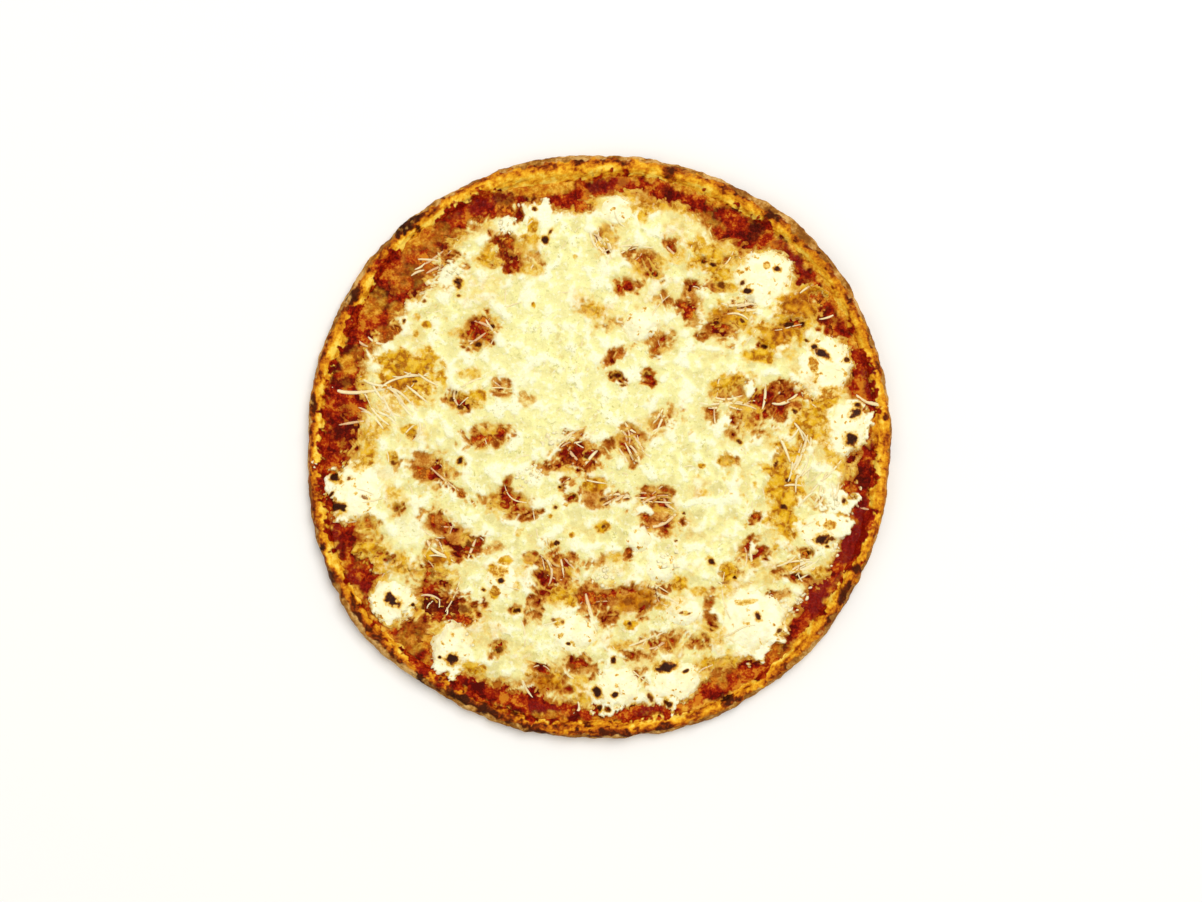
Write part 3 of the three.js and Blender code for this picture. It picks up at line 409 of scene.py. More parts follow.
# Grated strands that stand out: start, middle and end points, and width.
STRANDS = [
    (-138, 32, -128, 27.5, -106, 30, 1.6), (-122, 36, -116, 32, -108, 31, 1.2),
    (-107, 30, -101, 27, -95, 21, 1.1), (-98, 31, -93, 27, -87, 22, 1.1), (-92, 37, -88, 34, -82, 31, 1),
    (-101, 35, -94, 36, -87, 36, 1), (-123, 20, -116, 16, -110, 9, 1.2),
    (-117, 21, -112, 15, -107, 11, 1), (-110, 17, -106, 14, -103, 11, 0.9),
    (-133, 11, -127, 12, -120, 13, 1.2), (-125, 57, -122, 53, -118, 51, 1.2),
    (-118, 56, -114, 53, -109, 52, 1.1), (-96, 87, -93, 89, -89, 90, 1.1),
    (131, 26.5, 137, 22.5, 147, 20.5, 1.7), (88, 22, 95, 22.5, 101, 27, 1.6),
    (84, 33, 84.5, 26, 83, 19, 1.2), (59, 25, 65, 24, 73, 26, 1.1), (60, 21, 70, 22, 80, 19, 1),
    (97, -15, 102, -6, 106, 6, 1.4), (91, 6, 94, 0, 97, -8, 1.3), (99, 12, 102, 8, 104, 3, 1.1),
    (110, -20, 116, -15, 123, -7, 1), (101, -31, 104, -27, 109, -23, 1.1),
    (94, -20, 98, -19.5, 103, -20, 1), (-16, -1, -14, -4, -10, -8, 1.4), (-1, -2, -4, -5, -8, -10, 1.4),
    (-23, 1, -17, 5, -11, 9, 1.1), (10, -1, 13, -6, 15, -10, 1.1), (13, 2, 16, -4, 18, -9, 1),
    (24, -41, 33, -39, 41, -32, 1.7), (33, -25, 34, -29, 38, -32, 1.3), (22, -29, 28, -26, 35, -25, 1.2),
    (5, -25, 10, -24.5, 18, -27, 1.1), (-30, -55, -24.5, -62, -26, -71, 1.2),
    (-20, -56, -19, -61, -18, -67, 1), (-18, -57, -16, -59, -13, -62, 1),
    (-7, -75, -5, -83, -1, -94, 1.7), (-91, -76, -86, -76, -81, -78.5, 1),
    (-82, -78, -81.5, -80, -82, -83, 0.7), (-78, -82, -77.5, -84, -78, -86, 0.8),
    (-88, -9, -79, -17, -71, -23, 0.9), (-64, 64, -58, 62, -53, 58, 1.2),
    (-58, 65, -55, 60, -50, 55, 1.1), (-58, 58, -62, 55, -66, 52, 1.1), (62, 73, 69, 71.5, 77, 72.5, 1.3),
    (70, 70, 75, 69, 81, 70, 1.1), (1, 103, 3, 98, 4, 92, 1.2), (-5, 112, -4, 106, -1, 100, 1.1),
    (15, 100, 20, 101.5, 27, 101, 1), (33, 103, 36, 100, 40, 96, 1.1),
    (-88, -46, -84, -53, -75, -56, 1.3), (-63, -47, -65, -52, -67, -57, 1.2),
    (-73, 29, -74, 25, -72, 21, 1.2), (-70, 30, -65, 33, -59, 35, 1.1),
    (-18, -112, -16, -116, -13, -118, 1.1), (-11, -130, -11, -135, -17, -137, 1.3),
    (-40, -88, -38, -95, -38, -102, 1), (102, 78, 106, 81, 110, 83, 1), (112, 65, 117, 66, 123, 69, 1.1),
    (97, -64, 101, -61, 106, -59, 1.1), (78, -49, 77, -54, 78, -60, 1.3), (74, -51, 75, -56, 74, -61, 1),
    (130, -29, 133, -31, 137, -32, 1.1), (30, -75, 35, -77, 40, -80, 1),
    (-39, -119, -37, -124, -34, -128, 1), (-101, 22, -97, 17, -92, 12, 1), (-92, 14, -91, 9, -92, 5, 1),
]


def srgb(code):
    """Linear RGBA of a colour written as hex."""
    channels = [int(code[i:i + 2], 16) / 255 for i in (1, 3, 5)]
    linear = [c / 12.92 if c <= 0.04045 else ((c + 0.055) / 1.055) ** 2.4 for c in channels]
    return (*linear, 1.0)


def smooth_step(low, high, value):
    """0 below low, 1 above high, smooth between."""
    share = np.clip((value - low) / (high - low), 0, 1)
    return share * share * (3 - 2 * share)


def polar_points(angles, radii):
    return np.column_stack([radii * np.cos(angles), radii * np.sin(angles)])


def turned(plan, turn):
    """Points of a plan turned anticlockwise about the origin."""
    return plan @ [[math.cos(turn), math.sin(turn)], [-math.sin(turn), math.cos(turn)]]


def gaussian(size):
    """Whole steps to both sides, and their weights in a Gaussian blur of that size."""
    reach = math.ceil(3 * size)
    steps = np.arange(-reach, reach + 1)
    weights = np.exp(-0.5 * (steps / size) ** 2)
    return steps, weights / weights.sum()


# Noise.
def hashed(cells, seed):
    """A repeatable number from 0 to 1 for each row of whole numbers."""
    value = np.full(len(cells), seed * SEED_STEP + SEED_START, np.uint32)
    for column in cells.T:
        value = (value ^ column.astype(np.int64).astype(np.uint32)) * HASH_FACTORS[0]
        value ^= value >> np.uint32(15)
        value *= HASH_FACTORS[1]
        value ^= value >> np.uint32(13)
    return value / HASH_VALUES


def gradient_noise(points, size, seed):
    """Smooth noise from about -1 to 1 with lumps of that size, in as many dimensions as points has."""
    scaled = points / size
    cell = np.floor(scaled)
    part = scaled - cell
    fade = part ** 3 * (part * (part * 6 - 15) + 10)
    total = np.zeros(len(points))
    for corner in itertools.product((0, 1), repeat=points.shape[1]):
        weight = np.prod(np.where(corner, fade, 1 - fade), axis=1)
        slopes = [2 * hashed(cell + corner, 31 * seed + k) - 1 for k in range(points.shape[1])]
        total += weight * np.sum(np.stack(slopes, axis=1) * (part - corner), axis=1)
    return 1.6 * total


def fractal(points, size, seed, octaves=4, gain=0.55):
    """Noise with finer and finer lumps, from about -1 to 1."""
    total = np.zeros(len(points))
    for octave in range(octaves):
        total += gain ** octave * gradient_noise(points, size / 2 ** octave, seed + octave)
    return total


def scattered_cells(points, size, seed):
    """Distance to the nearest of scattered middles, as a share of size, and a number for that middle."""
    scaled = points / size
    cell = np.floor(scaled)
    nearest = np.full(len(points), 9.0)
    number = np.zeros(len(points))
    for step in itertools.product((-1, 0, 1), repeat=points.shape[1]):
        other = cell + step
        place = np.stack([hashed(other, seed + k) for k in range(points.shape[1])], axis=1)
        distance = np.linalg.norm(other + place - scaled, axis=1)
        closer = distance < nearest
        nearest = np.where(closer, distance, nearest)
        number = np.where(closer, hashed(other, seed + 9), number)
    return nearest, number


def draw(item, trait):
    """The part's own repeatable number from 0 to 1 for one trait of one item."""
    wave = math.sin(item * DRAW_ITEM + trait * DRAW_TRAIT) * DRAW_SCALE
    return wave - math.floor(wave)


def draw_between(limits, item, trait):
    return limits[0] + (limits[1] - limits[0]) * draw(item, trait)


def spiral_place(item, count, spread, turn):
    """Place of one item of a kind that is spread evenly over a disc, as in the part."""
    radius = spread * math.sqrt((item + 0.5) / count)
    angle = item * GOLDEN_ANGLE + turn
    return MIDDLE + polar_points(angle, radius)[0]


def place_in_oval(item, trait, x, y, half_length, half_width, turn=0.0):
    """A random place in an oval, from two traits of an item."""
    spot = polar_points(TURN * draw(item, trait), math.sqrt(draw(item, trait + 1)))
    return turned(spot * (half_length, half_width), turn)[0] + (x, y)


# Rays against the solids.
def tree_of(node):
    return BVHTree.FromObject(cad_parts[node], bpy.context.evaluated_depsgraph_get())


def hits(tree, starts, directions):
    """Distance from each start to the solid along its direction, or NaN."""
    found = np.full(len(starts), np.nan)
    for i, (start, direction) in enumerate(zip(starts * MM, directions)):
        distance = tree.ray_cast(Vector(start), Vector(direction))[3]
        if distance is not None:
            found[i] = distance / MM
    return found


# Fields on the square grid.
GRID_AXIS = np.arange(-GRID_HALF, GRID_HALF + GRID_STEP, GRID_STEP)
GRID_POINTS = np.stack(np.meshgrid(GRID_AXIS, GRID_AXIS, indexing="ij"), axis=-1).reshape(-1, 2)
GRID_SHAPE = (len(GRID_AXIS), len(GRID_AXIS))


def blurred(grid, size):
    """The grid with a Gaussian blur of that size."""
    weights = gaussian(size / GRID_STEP)[1]
    for axis in (0, 1):
        grid = np.apply_along_axis(np.convolve, axis, grid, weights, mode="same")
    return grid


def sampled(grid, points):
    """Values of the grid at points, linear between the grid's own."""
    place = np.clip((points + GRID_HALF) / GRID_STEP, 0, len(GRID_AXIS) - 1.001)
    low = np.floor(place).astype(int)
    u, v = (place - low).T
    i, j = low.T
    near = grid[i, j] * (1 - u) + grid[i + 1, j] * u
    far = grid[i, j + 1] * (1 - u) + grid[i + 1, j + 1] * u
    return near * (1 - v) + far * v


def cast_grid(node, start_z=RAY_HEIGHT, up=False):
    """Height at which a vertical ray through each grid point meets a node, or NaN."""
    low, high = (np.array(corner)[:2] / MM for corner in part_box(node))
    near = np.all((GRID_POINTS > low - 1) & (GRID_POINTS < high + 1), axis=1)
    starts = np.column_stack([GRID_POINTS[near], np.full(near.sum(), start_z)])
    sign = 1 if up else -1
    distance = hits(tree_of(node), starts, itertools.repeat((0, 0, sign)))
    heights = np.full(len(GRID_POINTS), np.nan)
    heights[near] = start_z + sign * distance
    return heights.reshape(GRID_SHAPE)


def opened(grid, reach):
    """The grid without ridges and peaks narrower than about twice the reach."""
    steps = [s for s in itertools.product(range(-reach, reach + 1), repeat=2) if math.hypot(*s) <= reach]
    for pick in (np.minimum, np.maximum):
        grid = pick.reduce([np.roll(grid, s, axis=(0, 1)) for s in steps])
    return grid


def cheese_fields():
    """Cover of the cheese from 0 to 1, the same with wide soft edges, and the lie of its top."""
    top = cast_grid("melted_cheese")
    under = cast_grid("melted_cheese", SAUCE_TOP, up=True)
    sheet = under < SHEET_LOW + 0.1
    dollops = np.zeros(GRID_SHAPE, bool)
    for node in DOLLOPS:
        dollops |= np.isfinite(cast_grid(node))
    usual = np.nanmedian(top)
    lie = opened(np.where(sheet, top, usual), 2)
    covered = (sheet | dollops).astype(float)
    weight = blurred(sheet.astype(float), LIE_BLUR) + 0.02
    level = (blurred(np.where(sheet, lie, 0), LIE_BLUR) + 0.02 * usual) / weight
    return blurred(covered, COVER_BLUR), blurred(covered, WIDE_BLUR), level


# Ovals.
def oval_distance(points, x, y, half_length, half_width, tilt):
    """Distance from an oval's middle, 1 on its edge."""
    along, across = turned(points - (x, y), -math.radians(tilt)).T
    return np.hypot(along / half_length, across / half_width)


def patch_mask(points, patches, ragged, low, high, wide=0.0):
    """Strongest of the ovals at each point: full inside low, none outside high, crisper if under wide."""
    mask = np.zeros(len(points))
    for *oval, strength in patches:
        rough = min(1, oval[3] / wide) if wide else 1
        distance = oval_distance(points, *oval) + rough * ragged
        soft = max(rough, 0.4)
        near, far = (1 + soft * (limit - 1) for limit in (low, high))
        mask = np.maximum(mask, strength * (1 - smooth_step(near, far, distance)))
    return mask


def char_masks(points):
    """Charred spots with ragged edges, and the toasted halos round them."""
    ragged = 0.55 * fractal(points, 3.2, 71, octaves=3)
    spot = patch_mask(points, CHAR_SPOTS, ragged, 0.5, 1.2)
    halo = patch_mask(points, CHAR_SPOTS, ragged, 0.7, 2.0)
    return spot, halo


def amber_mask(points):
    """Soft edged amber patches."""
    ragged = 0.7 * fractal(points, 7, 93) + 0.25 * fractal(points, 2.4, 94, octaves=2)
    return patch_mask(points, AMBER_PATCHES, ragged, 0.4, 1.55, wide=6.0)


# Meshes.
def make_piece(name, points, faces, masks, material, replaced=()):
    """A smooth mesh object from points in millimetres, with its masks as colour attributes of four each.

    A mask may be shorter than the points: those that only close the mesh have none.
    """
    mesh = bpy.data.meshes.new(name)
    mesh.from_pydata((points * MM).tolist(), [], faces if isinstance(faces, list) else faces.tolist())
    mesh.polygons.foreach_set("use_smooth", np.ones(len(mesh.polygons), bool))
    for number in range(math.ceil(len(masks) / 4)):
        four = np.zeros((len(points), 4), np.float32)
        for channel, mask in enumerate(masks[4 * number:4 * number + 4]):
            four[:len(mask), channel] = np.clip(mask, 0, 1)
        layer = mesh.color_attributes.new(f"masks_{number}", "FLOAT_COLOR", "POINT")
        layer.data.foreach_set("color", four.ravel())
    mesh.materials.append(material)
    mesh.validate()
    piece = bpy.data.objects.new(name, mesh)
    bpy.context.scene.collection.objects.link(piece)
    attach(piece, "root")
    if replaced:
        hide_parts(*replaced)


def disc_grid(rings):
    """Even points over a disc, as angle and share of the radius, and the triangles between them."""
    angles = [np.zeros(1)]
    shares = [np.zeros(1)]
    faces = []
    start = [0]
    for k in range(1, rings + 1):
        start.append(start[-1] + (1 if k == 1 else 6 * (k - 1)))
        angles.append(np.arange(6 * k) / (6 * k) * TURN)
        shares.append(np.full(6 * k, k / rings))
        sector, j = np.divmod(np.arange(6 * k), k)
        outer = start[k] + np.arange(6 * k)
        after = start[k] + (np.arange(6 * k) + 1) % (6 * k)
        inner_count = max(6 * (k - 1), 1)
        inner = start[k - 1] + (sector * (k - 1) + j) % inner_count
        faces.append(np.column_stack([outer, after, inner]))
        if k > 1:
            sector, j = np.divmod(np.arange(6 * (k - 1)), k - 1)
            inner = start[k - 1] + np.arange(6 * (k - 1))
            inner_after = start[k - 1] + (np.arange(6 * (k - 1)) + 1) % (6 * (k - 1))
            faces.append(np.column_stack([inner, start[k] + sector * k + j + 1, inner_after]))
    return np.concatenate(angles), np.concatenate(shares), np.concatenate(faces)


def closed_below(points, faces, edge_count, low):
    """Adds a wall under the last ring of a disc and a flat bottom."""
    count = len(points)
    edge = count - edge_count + np.arange(edge_count)
    after = np.roll(edge, -1)
    wall = edge + edge_count
    wall_after = np.roll(wall, -1)
    bottom = points[edge].copy()
    bottom[:, 2] = low
    middle = np.array([[*bottom[:, :2].mean(axis=0), low]])
    tip = np.full(edge_count, count + edge_count)
    sides = [
        np.column_stack([edge, wall, wall_after]),
        np.column_stack([edge, wall_after, after]),
        np.column_stack([wall, tip, wall_after]),
    ]
    return np.concatenate([points, bottom, middle]), np.concatenate([faces, *sides])


def ring_blur(values, size):
    """Blurs rows round a closed ring of spokes."""
    return sum(weight * np.roll(values, step, axis=0) for step, weight in zip(*gaussian(size)))


def outline(node, height, middle, count, beyond, blur):
    """Function that gives the radius of a node's outline at one height, round a middle, for angles."""
    angles = np.arange(count + 1) / count * TURN
    outward = np.column_stack([np.cos(angles), np.sin(angles), np.zeros(count + 1)])[:-1]
    starts = np.array([*middle, height]) + beyond * outward
    radii = ring_blur(beyond - hits(tree_of(node), starts, -outward), blur)
    closed = np.append(radii, radii[0])
    return lambda turns: np.interp(np.mod(turns, TURN), angles, closed)


# Materials.
class Nodes:
    """Short ways to add shader nodes to one material."""

    def __init__(self, name):
        self.material = bpy.data.materials.new(name)
        self.material.use_nodes = True
        self.tree = self.material.node_tree
        self.shader = self.tree.nodes["Principled BSDF"]
        self.place = self.add("ShaderNodeTexCoord").outputs["Object"]

    def add(self, kind, sockets=(), **settings):
        """A new node with its settings made and its sockets fed."""
        node = self.tree.nodes.new(kind)
        for key, value in settings.items():
            setattr(node, key, value)
        for key, value in dict(sockets).items():
            self.feed(node.inputs[key], value)
        return node

    def feed(self, socket, value):
        """Links a socket to another, or sets it to a colour in hex or to a number."""
        if isinstance(value, bpy.types.NodeSocket):
            self.tree.links.new(value, socket)
        elif isinstance(value, str):
            socket.default_value = srgb(value)
        else:
            socket.default_value = value

    def masks(self, number=0):
        """Four of the piece's masks."""
        attribute = self.add("ShaderNodeAttribute", attribute_name=f"masks_{number}")
        split = self.add("ShaderNodeSeparateColor", {"Color": attribute.outputs["Color"]})
        return [*split.outputs, attribute.outputs["Alpha"]]

    def noise(self, size, detail=4.0, rough=0.6, low=0.3, high=0.7):
        """Noise with lumps of that size in millimetres, spread out to 0 and 1."""
        sockets = {"Vector": self.place, "Scale": 1 / (size * MM), "Detail": detail, "Roughness": rough}
        return self.spread(self.add("ShaderNodeTexNoise", sockets).outputs["Fac"], low, high)

    def cells(self, size):
        """Bubbly cells of about that size: 0 at their walls and 1 in their middles."""
        wander = self.add("ShaderNodeTexNoise", {"Vector": self.place, "Scale": 1.2 / (size * MM)})
        terms = {0: wander.outputs["Color"], 1: (size * MM,) * 3, 2: self.place}
        shifted = self.add("ShaderNodeVectorMath", terms, operation="MULTIPLY_ADD")
        sockets = {"Vector": shifted.outputs["Vector"], "Scale": 1 / (size * MM)}
        walls = self.add("ShaderNodeTexVoronoi", sockets, feature="DISTANCE_TO_EDGE")
        return self.spread(walls.outputs["Distance"], 0.0, 0.35)

    def spread(self, value, low, high, to_low=0.0, to_high=1.0):
        """The value eased from one pair of limits to another."""
        sockets = {"Value": value, "From Min": low, "From Max": high, "To Min": to_low, "To Max": to_high}
        return self.add("ShaderNodeMapRange", sockets, interpolation_type="SMOOTHSTEP").outputs["Result"]

    def math(self, operation, a, b):
        return self.add("ShaderNodeMath", {0: a, 1: b}, operation=operation).outputs[0]

    def times(self, a, b):
        return self.math("MULTIPLY", a, b)

    def jitter(self, value, noise, amount):
        """The value with noise added, from minus half to plus half the amount."""
        return self.math("ADD", value, self.times(self.math("SUBTRACT", noise, 0.5), amount))

    def mix(self, share, a, b):
        return self.add("ShaderNodeMix", {0: share, 6: a, 7: b}, data_type="RGBA").outputs[2]

    def ramp(self, share, *stops):
        """A colour by share, from stops of position and colour."""
        node = self.add("ShaderNodeValToRGB", {"Fac": share})
        elements = node.color_ramp.elements
        while len(elements) < len(stops):
            elements.new(0.5)
        for element, (position, colour) in zip(elements, stops):
            element.position = position
            element.color = srgb(colour)
        return node.outputs["Color"]

    def charred(self, colour, char, grain):
        """The colour with charred spots that go brown before they go black."""
        char = self.times(char, self.spread(grain, 0.0, 1.0, 0.7, 1.2))
        colour = self.mix(self.spread(char, 0.05, 0.5), colour, self.mix(grain, "#6e3009", "#a55c15"))
        return self.mix(self.spread(char, 0.4, 0.85), colour, self.mix(grain, "#140602", "#431a07"))

    def bump(self, height, distance):
        node = self.add("ShaderNodeBump", {"Distance": distance * MM, "Height": height})
        self.feed(self.shader.inputs["Normal"], node.outputs["Normal"])

    def finish(self, colour, roughness, specular, glow=0.0):
        """Sets the shader: glow is the share of light that scatters inside."""
        self.feed(self.shader.inputs["Base Color"], colour)
        self.feed(self.shader.inputs["Roughness"], roughness)
        self.feed(self.shader.inputs["Specular IOR Level"], specular)
        self.shader.inputs["Subsurface Weight"].default_value = glow
        self.shader.inputs["Subsurface Radius"].default_value = GLOW_REACH
        self.shader.inputs["Subsurface Scale"].default_value = GLOW_SCALE
        return self.material


def sauce_colour(n, orange, wet, dark=None):
    """Colour of baked tomato sauce, and its fine grain."""
    grain = n.noise(1.3, detail=5.0)
    blotch = n.noise(4.5)
    tone = n.jitter(n.jitter(orange, blotch, 0.8), grain, 0.5)
    colour = n.ramp(
        tone, (0.0, "#540802"), (0.3, "#801002"), (0.55, "#9c2203"), (0.78, "#b64408"), (1.0, "#d07c1c"))
    colour = n.mix(n.times(wet, 0.9), colour, n.mix(grain, "#6c0702", "#8c0f04"))
    if dark is not None:
        colour = n.mix(n.times(dark, 0.75), colour, n.mix(grain, "#260802", "#601905"))
    return colour, grain


def dough_material():
    """Baked dough: masks are brown, char, place across the rim from the floury outside with its painted
    shading (0) to sauce (1), and wet.
    """
    n = Nodes("baked_dough")
    brown, char, across, wet = n.masks()
    speckle = n.noise(1.5, detail=5.0)
    mottle = n.noise(4.0)
    tone = n.jitter(n.jitter(brown, mottle, 0.26), speckle, 0.26)
    colour = n.ramp(
        tone, (0.0, "#f9d558"), (0.22, "#f0b62c"), (0.42, "#de9418"), (0.6, "#c4700f"), (0.78, "#943c08"),
        (1.0, "#4c1b05"))
    dusty = n.noise(14.0, detail=3.0)
    dusty = n.jitter(n.jitter(dusty, mottle, 0.5), speckle, 0.5)
    # Colour of the floury outside, its darker tones partly painted shading of the shadowed edge.
    flour_and_shadow = n.ramp(dusty, (0.0, "#804a14"), (0.5, "#ae762c"), (1.0, "#d6a860"))
    colour = n.mix(n.spread(across, 0.1, 0.4, 1.0, 0.0), colour, flour_and_shadow)
    red, _ = sauce_colour(n, 0.45, wet)
    colour = n.mix(n.spread(across, 0.6, 0.9), colour, red)
    colour = n.mix(char, colour, n.mix(speckle, "#1a0903", "#4e2008"))
    roughness = n.spread(wet, 0.0, 1.0, 0.6, 0.12)
    n.bump(speckle, 0.15)
    return n.finish(colour, roughness, 0.05)


def sauce_material():
    """Baked tomato sauce: masks are gold, wet, dark and orange."""
    n = Nodes("tomato_sauce")
    gold, wet, dark, orange = n.masks()
    colour, grain = sauce_colour(n, orange, wet, dark)
    tone = n.jitter(n.noise(4.0), grain, 0.5)
    crisp = n.ramp(tone, (0.0, "#b5570d"), (0.5, "#d48d1c"), (1.0, "#eeb842"))
    colour = n.mix(gold, colour, crisp)
    roughness = n.spread(wet, 0.0, 1.0, 0.4, 0.12)
    n.bump(grain, 0.3)
    return n.finish(colour, roughness, n.spread(wet, 0.0, 1.0, 0.04, 0.1))


def cheese_material():
    """Melted cheese: masks are body, toast, curd, char, then tint of thin places, painted shading with
    stains, and deep amber.
    """
    n = Nodes("melted_cheese")
    body, toast, curd, char = n.masks()
    tint, painted_shading_and_stains, deep = n.masks(1)[:3]
    grain = n.noise(1.1, detail=5.0)
    mottle = n.noise(4.0, detail=5.0)
    cloud = n.noise(16.0, detail=3.0)
    depth = n.jitter(body, mottle, n.spread(body, 0.45, 1.0, 0.26, 0.1))
    depth = n.jitter(depth, grain, n.spread(body, 0.45, 1.0, 0.2, 0.08))
    red = n.ramp(
        depth, (0.0, "#5a1002"), (0.16, "#8a2803"), (0.34, "#b45208"), (0.52, "#d0801c"), (0.7, "#e8be5c"),
        (0.85, "#f5eaa0"), (1.0, "#f9f4ae"))
    tan = n.ramp(
        depth, (0.0, "#a2500e"), (0.16, "#b96e1c"), (0.34, "#cc943a"), (0.52, "#ddb55e"), (0.7, "#ebd486"),
        (0.85, "#f4e99c"), (1.0, "#f9f4ae"))
    colour = n.mix(tint, red, tan)
    colour = n.mix(n.times(cloud, n.spread(body, 0.75, 1.0, 0.0, 0.3)), colour, "#eee68a")
    # Painted shading: the low places of the relief darker, with the haze round thin patches and pale
    # stains.
    colour = n.mix(n.times(painted_shading_and_stains, n.spread(body, 0.6, 1.0, 0.0, 0.75)), colour, "#dacb86")
    flakes = n.noise(2.7, low=0.52, high=0.66)
    flakes = n.times(flakes, n.spread(body, 0.75, 1.0, 0.0, 0.6))
    flecks = n.noise(1.9, low=0.54, high=0.7)
    flecks = n.times(n.times(flecks, cloud), n.spread(body, 0.75, 1.0, 0.0, 0.85))
    colour = n.mix(curd, colour, n.mix(grain, "#fdf9cc", "#fffee2"))
    colour = n.mix(flakes, colour, "#fffee0")
    colour = n.mix(flecks, colour, "#c6bd70")
    tone = n.jitter(n.jitter(n.cells(7.0), mottle, 0.5), grain, 0.2)
    amber = n.ramp(
        tone, (0.0, "#aa640a"), (0.15, "#c4840a"), (0.4, "#d69c0e"), (0.75, "#e0ac16"), (1.0, "#edc03a"))
    baked = n.ramp(
        tone, (0.0, "#8a3a02"), (0.2, "#a85606"), (0.5, "#be7008"), (0.8, "#ca7e0a"), (1.0, "#dc9a1e"))
    amber = n.mix(deep, amber, baked)
    scorched = n.noise(2.6, detail=3.0, low=0.56, high=0.72)
    amber = n.mix(n.times(scorched, 0.4), amber, "#a8640e")
    toast = n.times(toast, n.spread(n.noise(2.6), 0.0, 1.0, 0.6, 1.25))
    gold = n.mix(deep, n.mix(mottle, "#e0aa2c", "#eecb5c"), n.mix(mottle, "#b86c0c", "#d08e1e"))
    colour = n.mix(n.spread(toast, 0.0, 0.6), colour, gold)
    colour = n.mix(n.spread(toast, 0.35, 0.85), colour, amber)
    colour = n.charred(colour, char, grain)
    roughness = n.spread(grain, 0.0, 1.0, 0.38, 0.55)
    n.bump(n.jitter(grain, mottle, 1.0), 0.2)
    return n.finish(colour, roughness, n.spread(body, 0.4, 0.9, 0.03, 0.07), 0.05)


def goat_material():
    """Goat cheese: masks are body, toast, painted shading of folds, and char."""
    n = Nodes("goat_cheese")
    body, toast, painted_fold_shading, char = n.masks()
    grain = n.noise(1.1, detail=5.0)
    soft = n.noise(6.0)
    colour = n.mix(soft, "#fcf5c2", "#fffcda")
    # Yellowish painted shading of folds in the cheese.
    colour = n.mix(n.times(painted_fold_shading, 0.5), colour, "#f6eab0")
    colour = n.mix(body, n.mix(grain, "#eccf80", "#f8efba"), colour)
    toast = n.times(toast, n.spread(n.noise(2.0), 0.0, 1.0, 0.6, 1.25))
    colour = n.mix(n.spread(toast, 0.0, 0.6), colour, n.mix(soft, "#e6b640", "#f0cf68"))
    colour = n.mix(n.spread(toast, 0.45, 0.9), colour, n.mix(grain, "#a85c0c", "#d0901c"))
    colour = n.charred(colour, char, grain)
    n.bump(grain, 0.15)
    return n.finish(colour, 0.5, 0.12, 0.12)


def shred_material():
    """Grated cheese: pale strands, some a little golden; the mask is how much sauce shows through."""
    n = Nodes("grated_cheese")
    stained = n.masks()[0]
    tint = n.noise(12.0, detail=2.0)
    grain = n.noise(1.0)
    colour = n.mix(tint, "#faeebe", "#f1dca6")
    colour = n.mix(n.times(grain, 0.3), colour, "#e6c88e")
    colour = n.mix(stained, colour, n.mix(grain, "#c98a58", "#e2b482"))
    return n.finish(colour, 0.42, 0.12, 0.15)


def crumb_material():
    """White crumbs of cheese."""
    n = Nodes("white_crumbs")
    grain = n.noise(0.8)
    colour = n.mix(n.noise(3.0, detail=3.0), "#faf2c6", "#eedca4")
    colour = n.mix(n.times(grain, 0.3), colour, "#fffbe0")
    n.bump(grain, 0.1)
    return n.finish(colour, 0.5, 0.1, 0.1)


# Pieces.
def radius_by_angle(rows):
    """Function that gives a radius for angles, from rows of degrees and radius."""
    degrees, radii = np.array(rows).T
    return lambda angles: np.interp(np.degrees(angles), degrees, radii, period=360)


sauce_reach = radius_by_angle(SAUCE_REACH)
gold_reach = radius_by_angle(GOLD_REACH)


def sauce_share(flat):
    """Share of sauce near the ragged line where it meets the clean rim."""
    angles = np.arctan2(flat[:, 1], flat[:, 0])
    ragged = 4.0 * fractal(flat, 8, 33) + 2.5 * fractal(flat, 2.6, 35, octaves=2)
    return smooth_step(-1.6, 1.6, sauce_reach(angles) - np.linalg.norm(flat, axis=1) + ragged)


def rim_masks(flat, swept, facing, blister):
    """Masks of the dough at points that face that many degrees up from straight outwards."""
    plan = flat[:, :2]
    ragged = fractal(flat, 5, 37)
    burnt = patch_mask(plan, RIM_BURNS, 0.9 * ragged, 0.3, 1.5)
    outside = np.linalg.norm(plan, axis=1) - gold_reach(np.arctan2(plan[:, 1], plan[:, 0]))
    beyond = smooth_step(-2.2, 1.0, outside + 2.5 * ragged)
    # The floury outside is darkened as painted shading where the rim's edge lies in shadow.
    floury_and_shadowed = np.maximum(beyond, 1 - smooth_step(5, 45, facing + 30 * ragged))
    sauced = sauce_share(plan) * smooth_step(40, 75, facing)
    across = 0.5 - 0.5 * floury_and_shadowed + 0.5 * sauced
    specks = smooth_step(0.25, 0.5, fractal(flat, 3.4, 19, octaves=2))
    brown = 0.2 + 0.25 * fractal(flat, 13, 13) + 0.36 * fractal(swept, 3.5, 17, octaves=3) + 0.1 * blister
    # Browner towards the outer edge, partly baking and partly painted shading of that edge.
    brown = brown + 0.46 * smooth_step(-6, -1, outside) + 0.85 * burnt + specks * (0.24 + 0.5 * burnt)
    wet = patch_mask(plan, WET_PATCHES, ragged, 0.6, 1.2)
    return brown, smooth_step(0.5, 0.9, burnt), across, wet


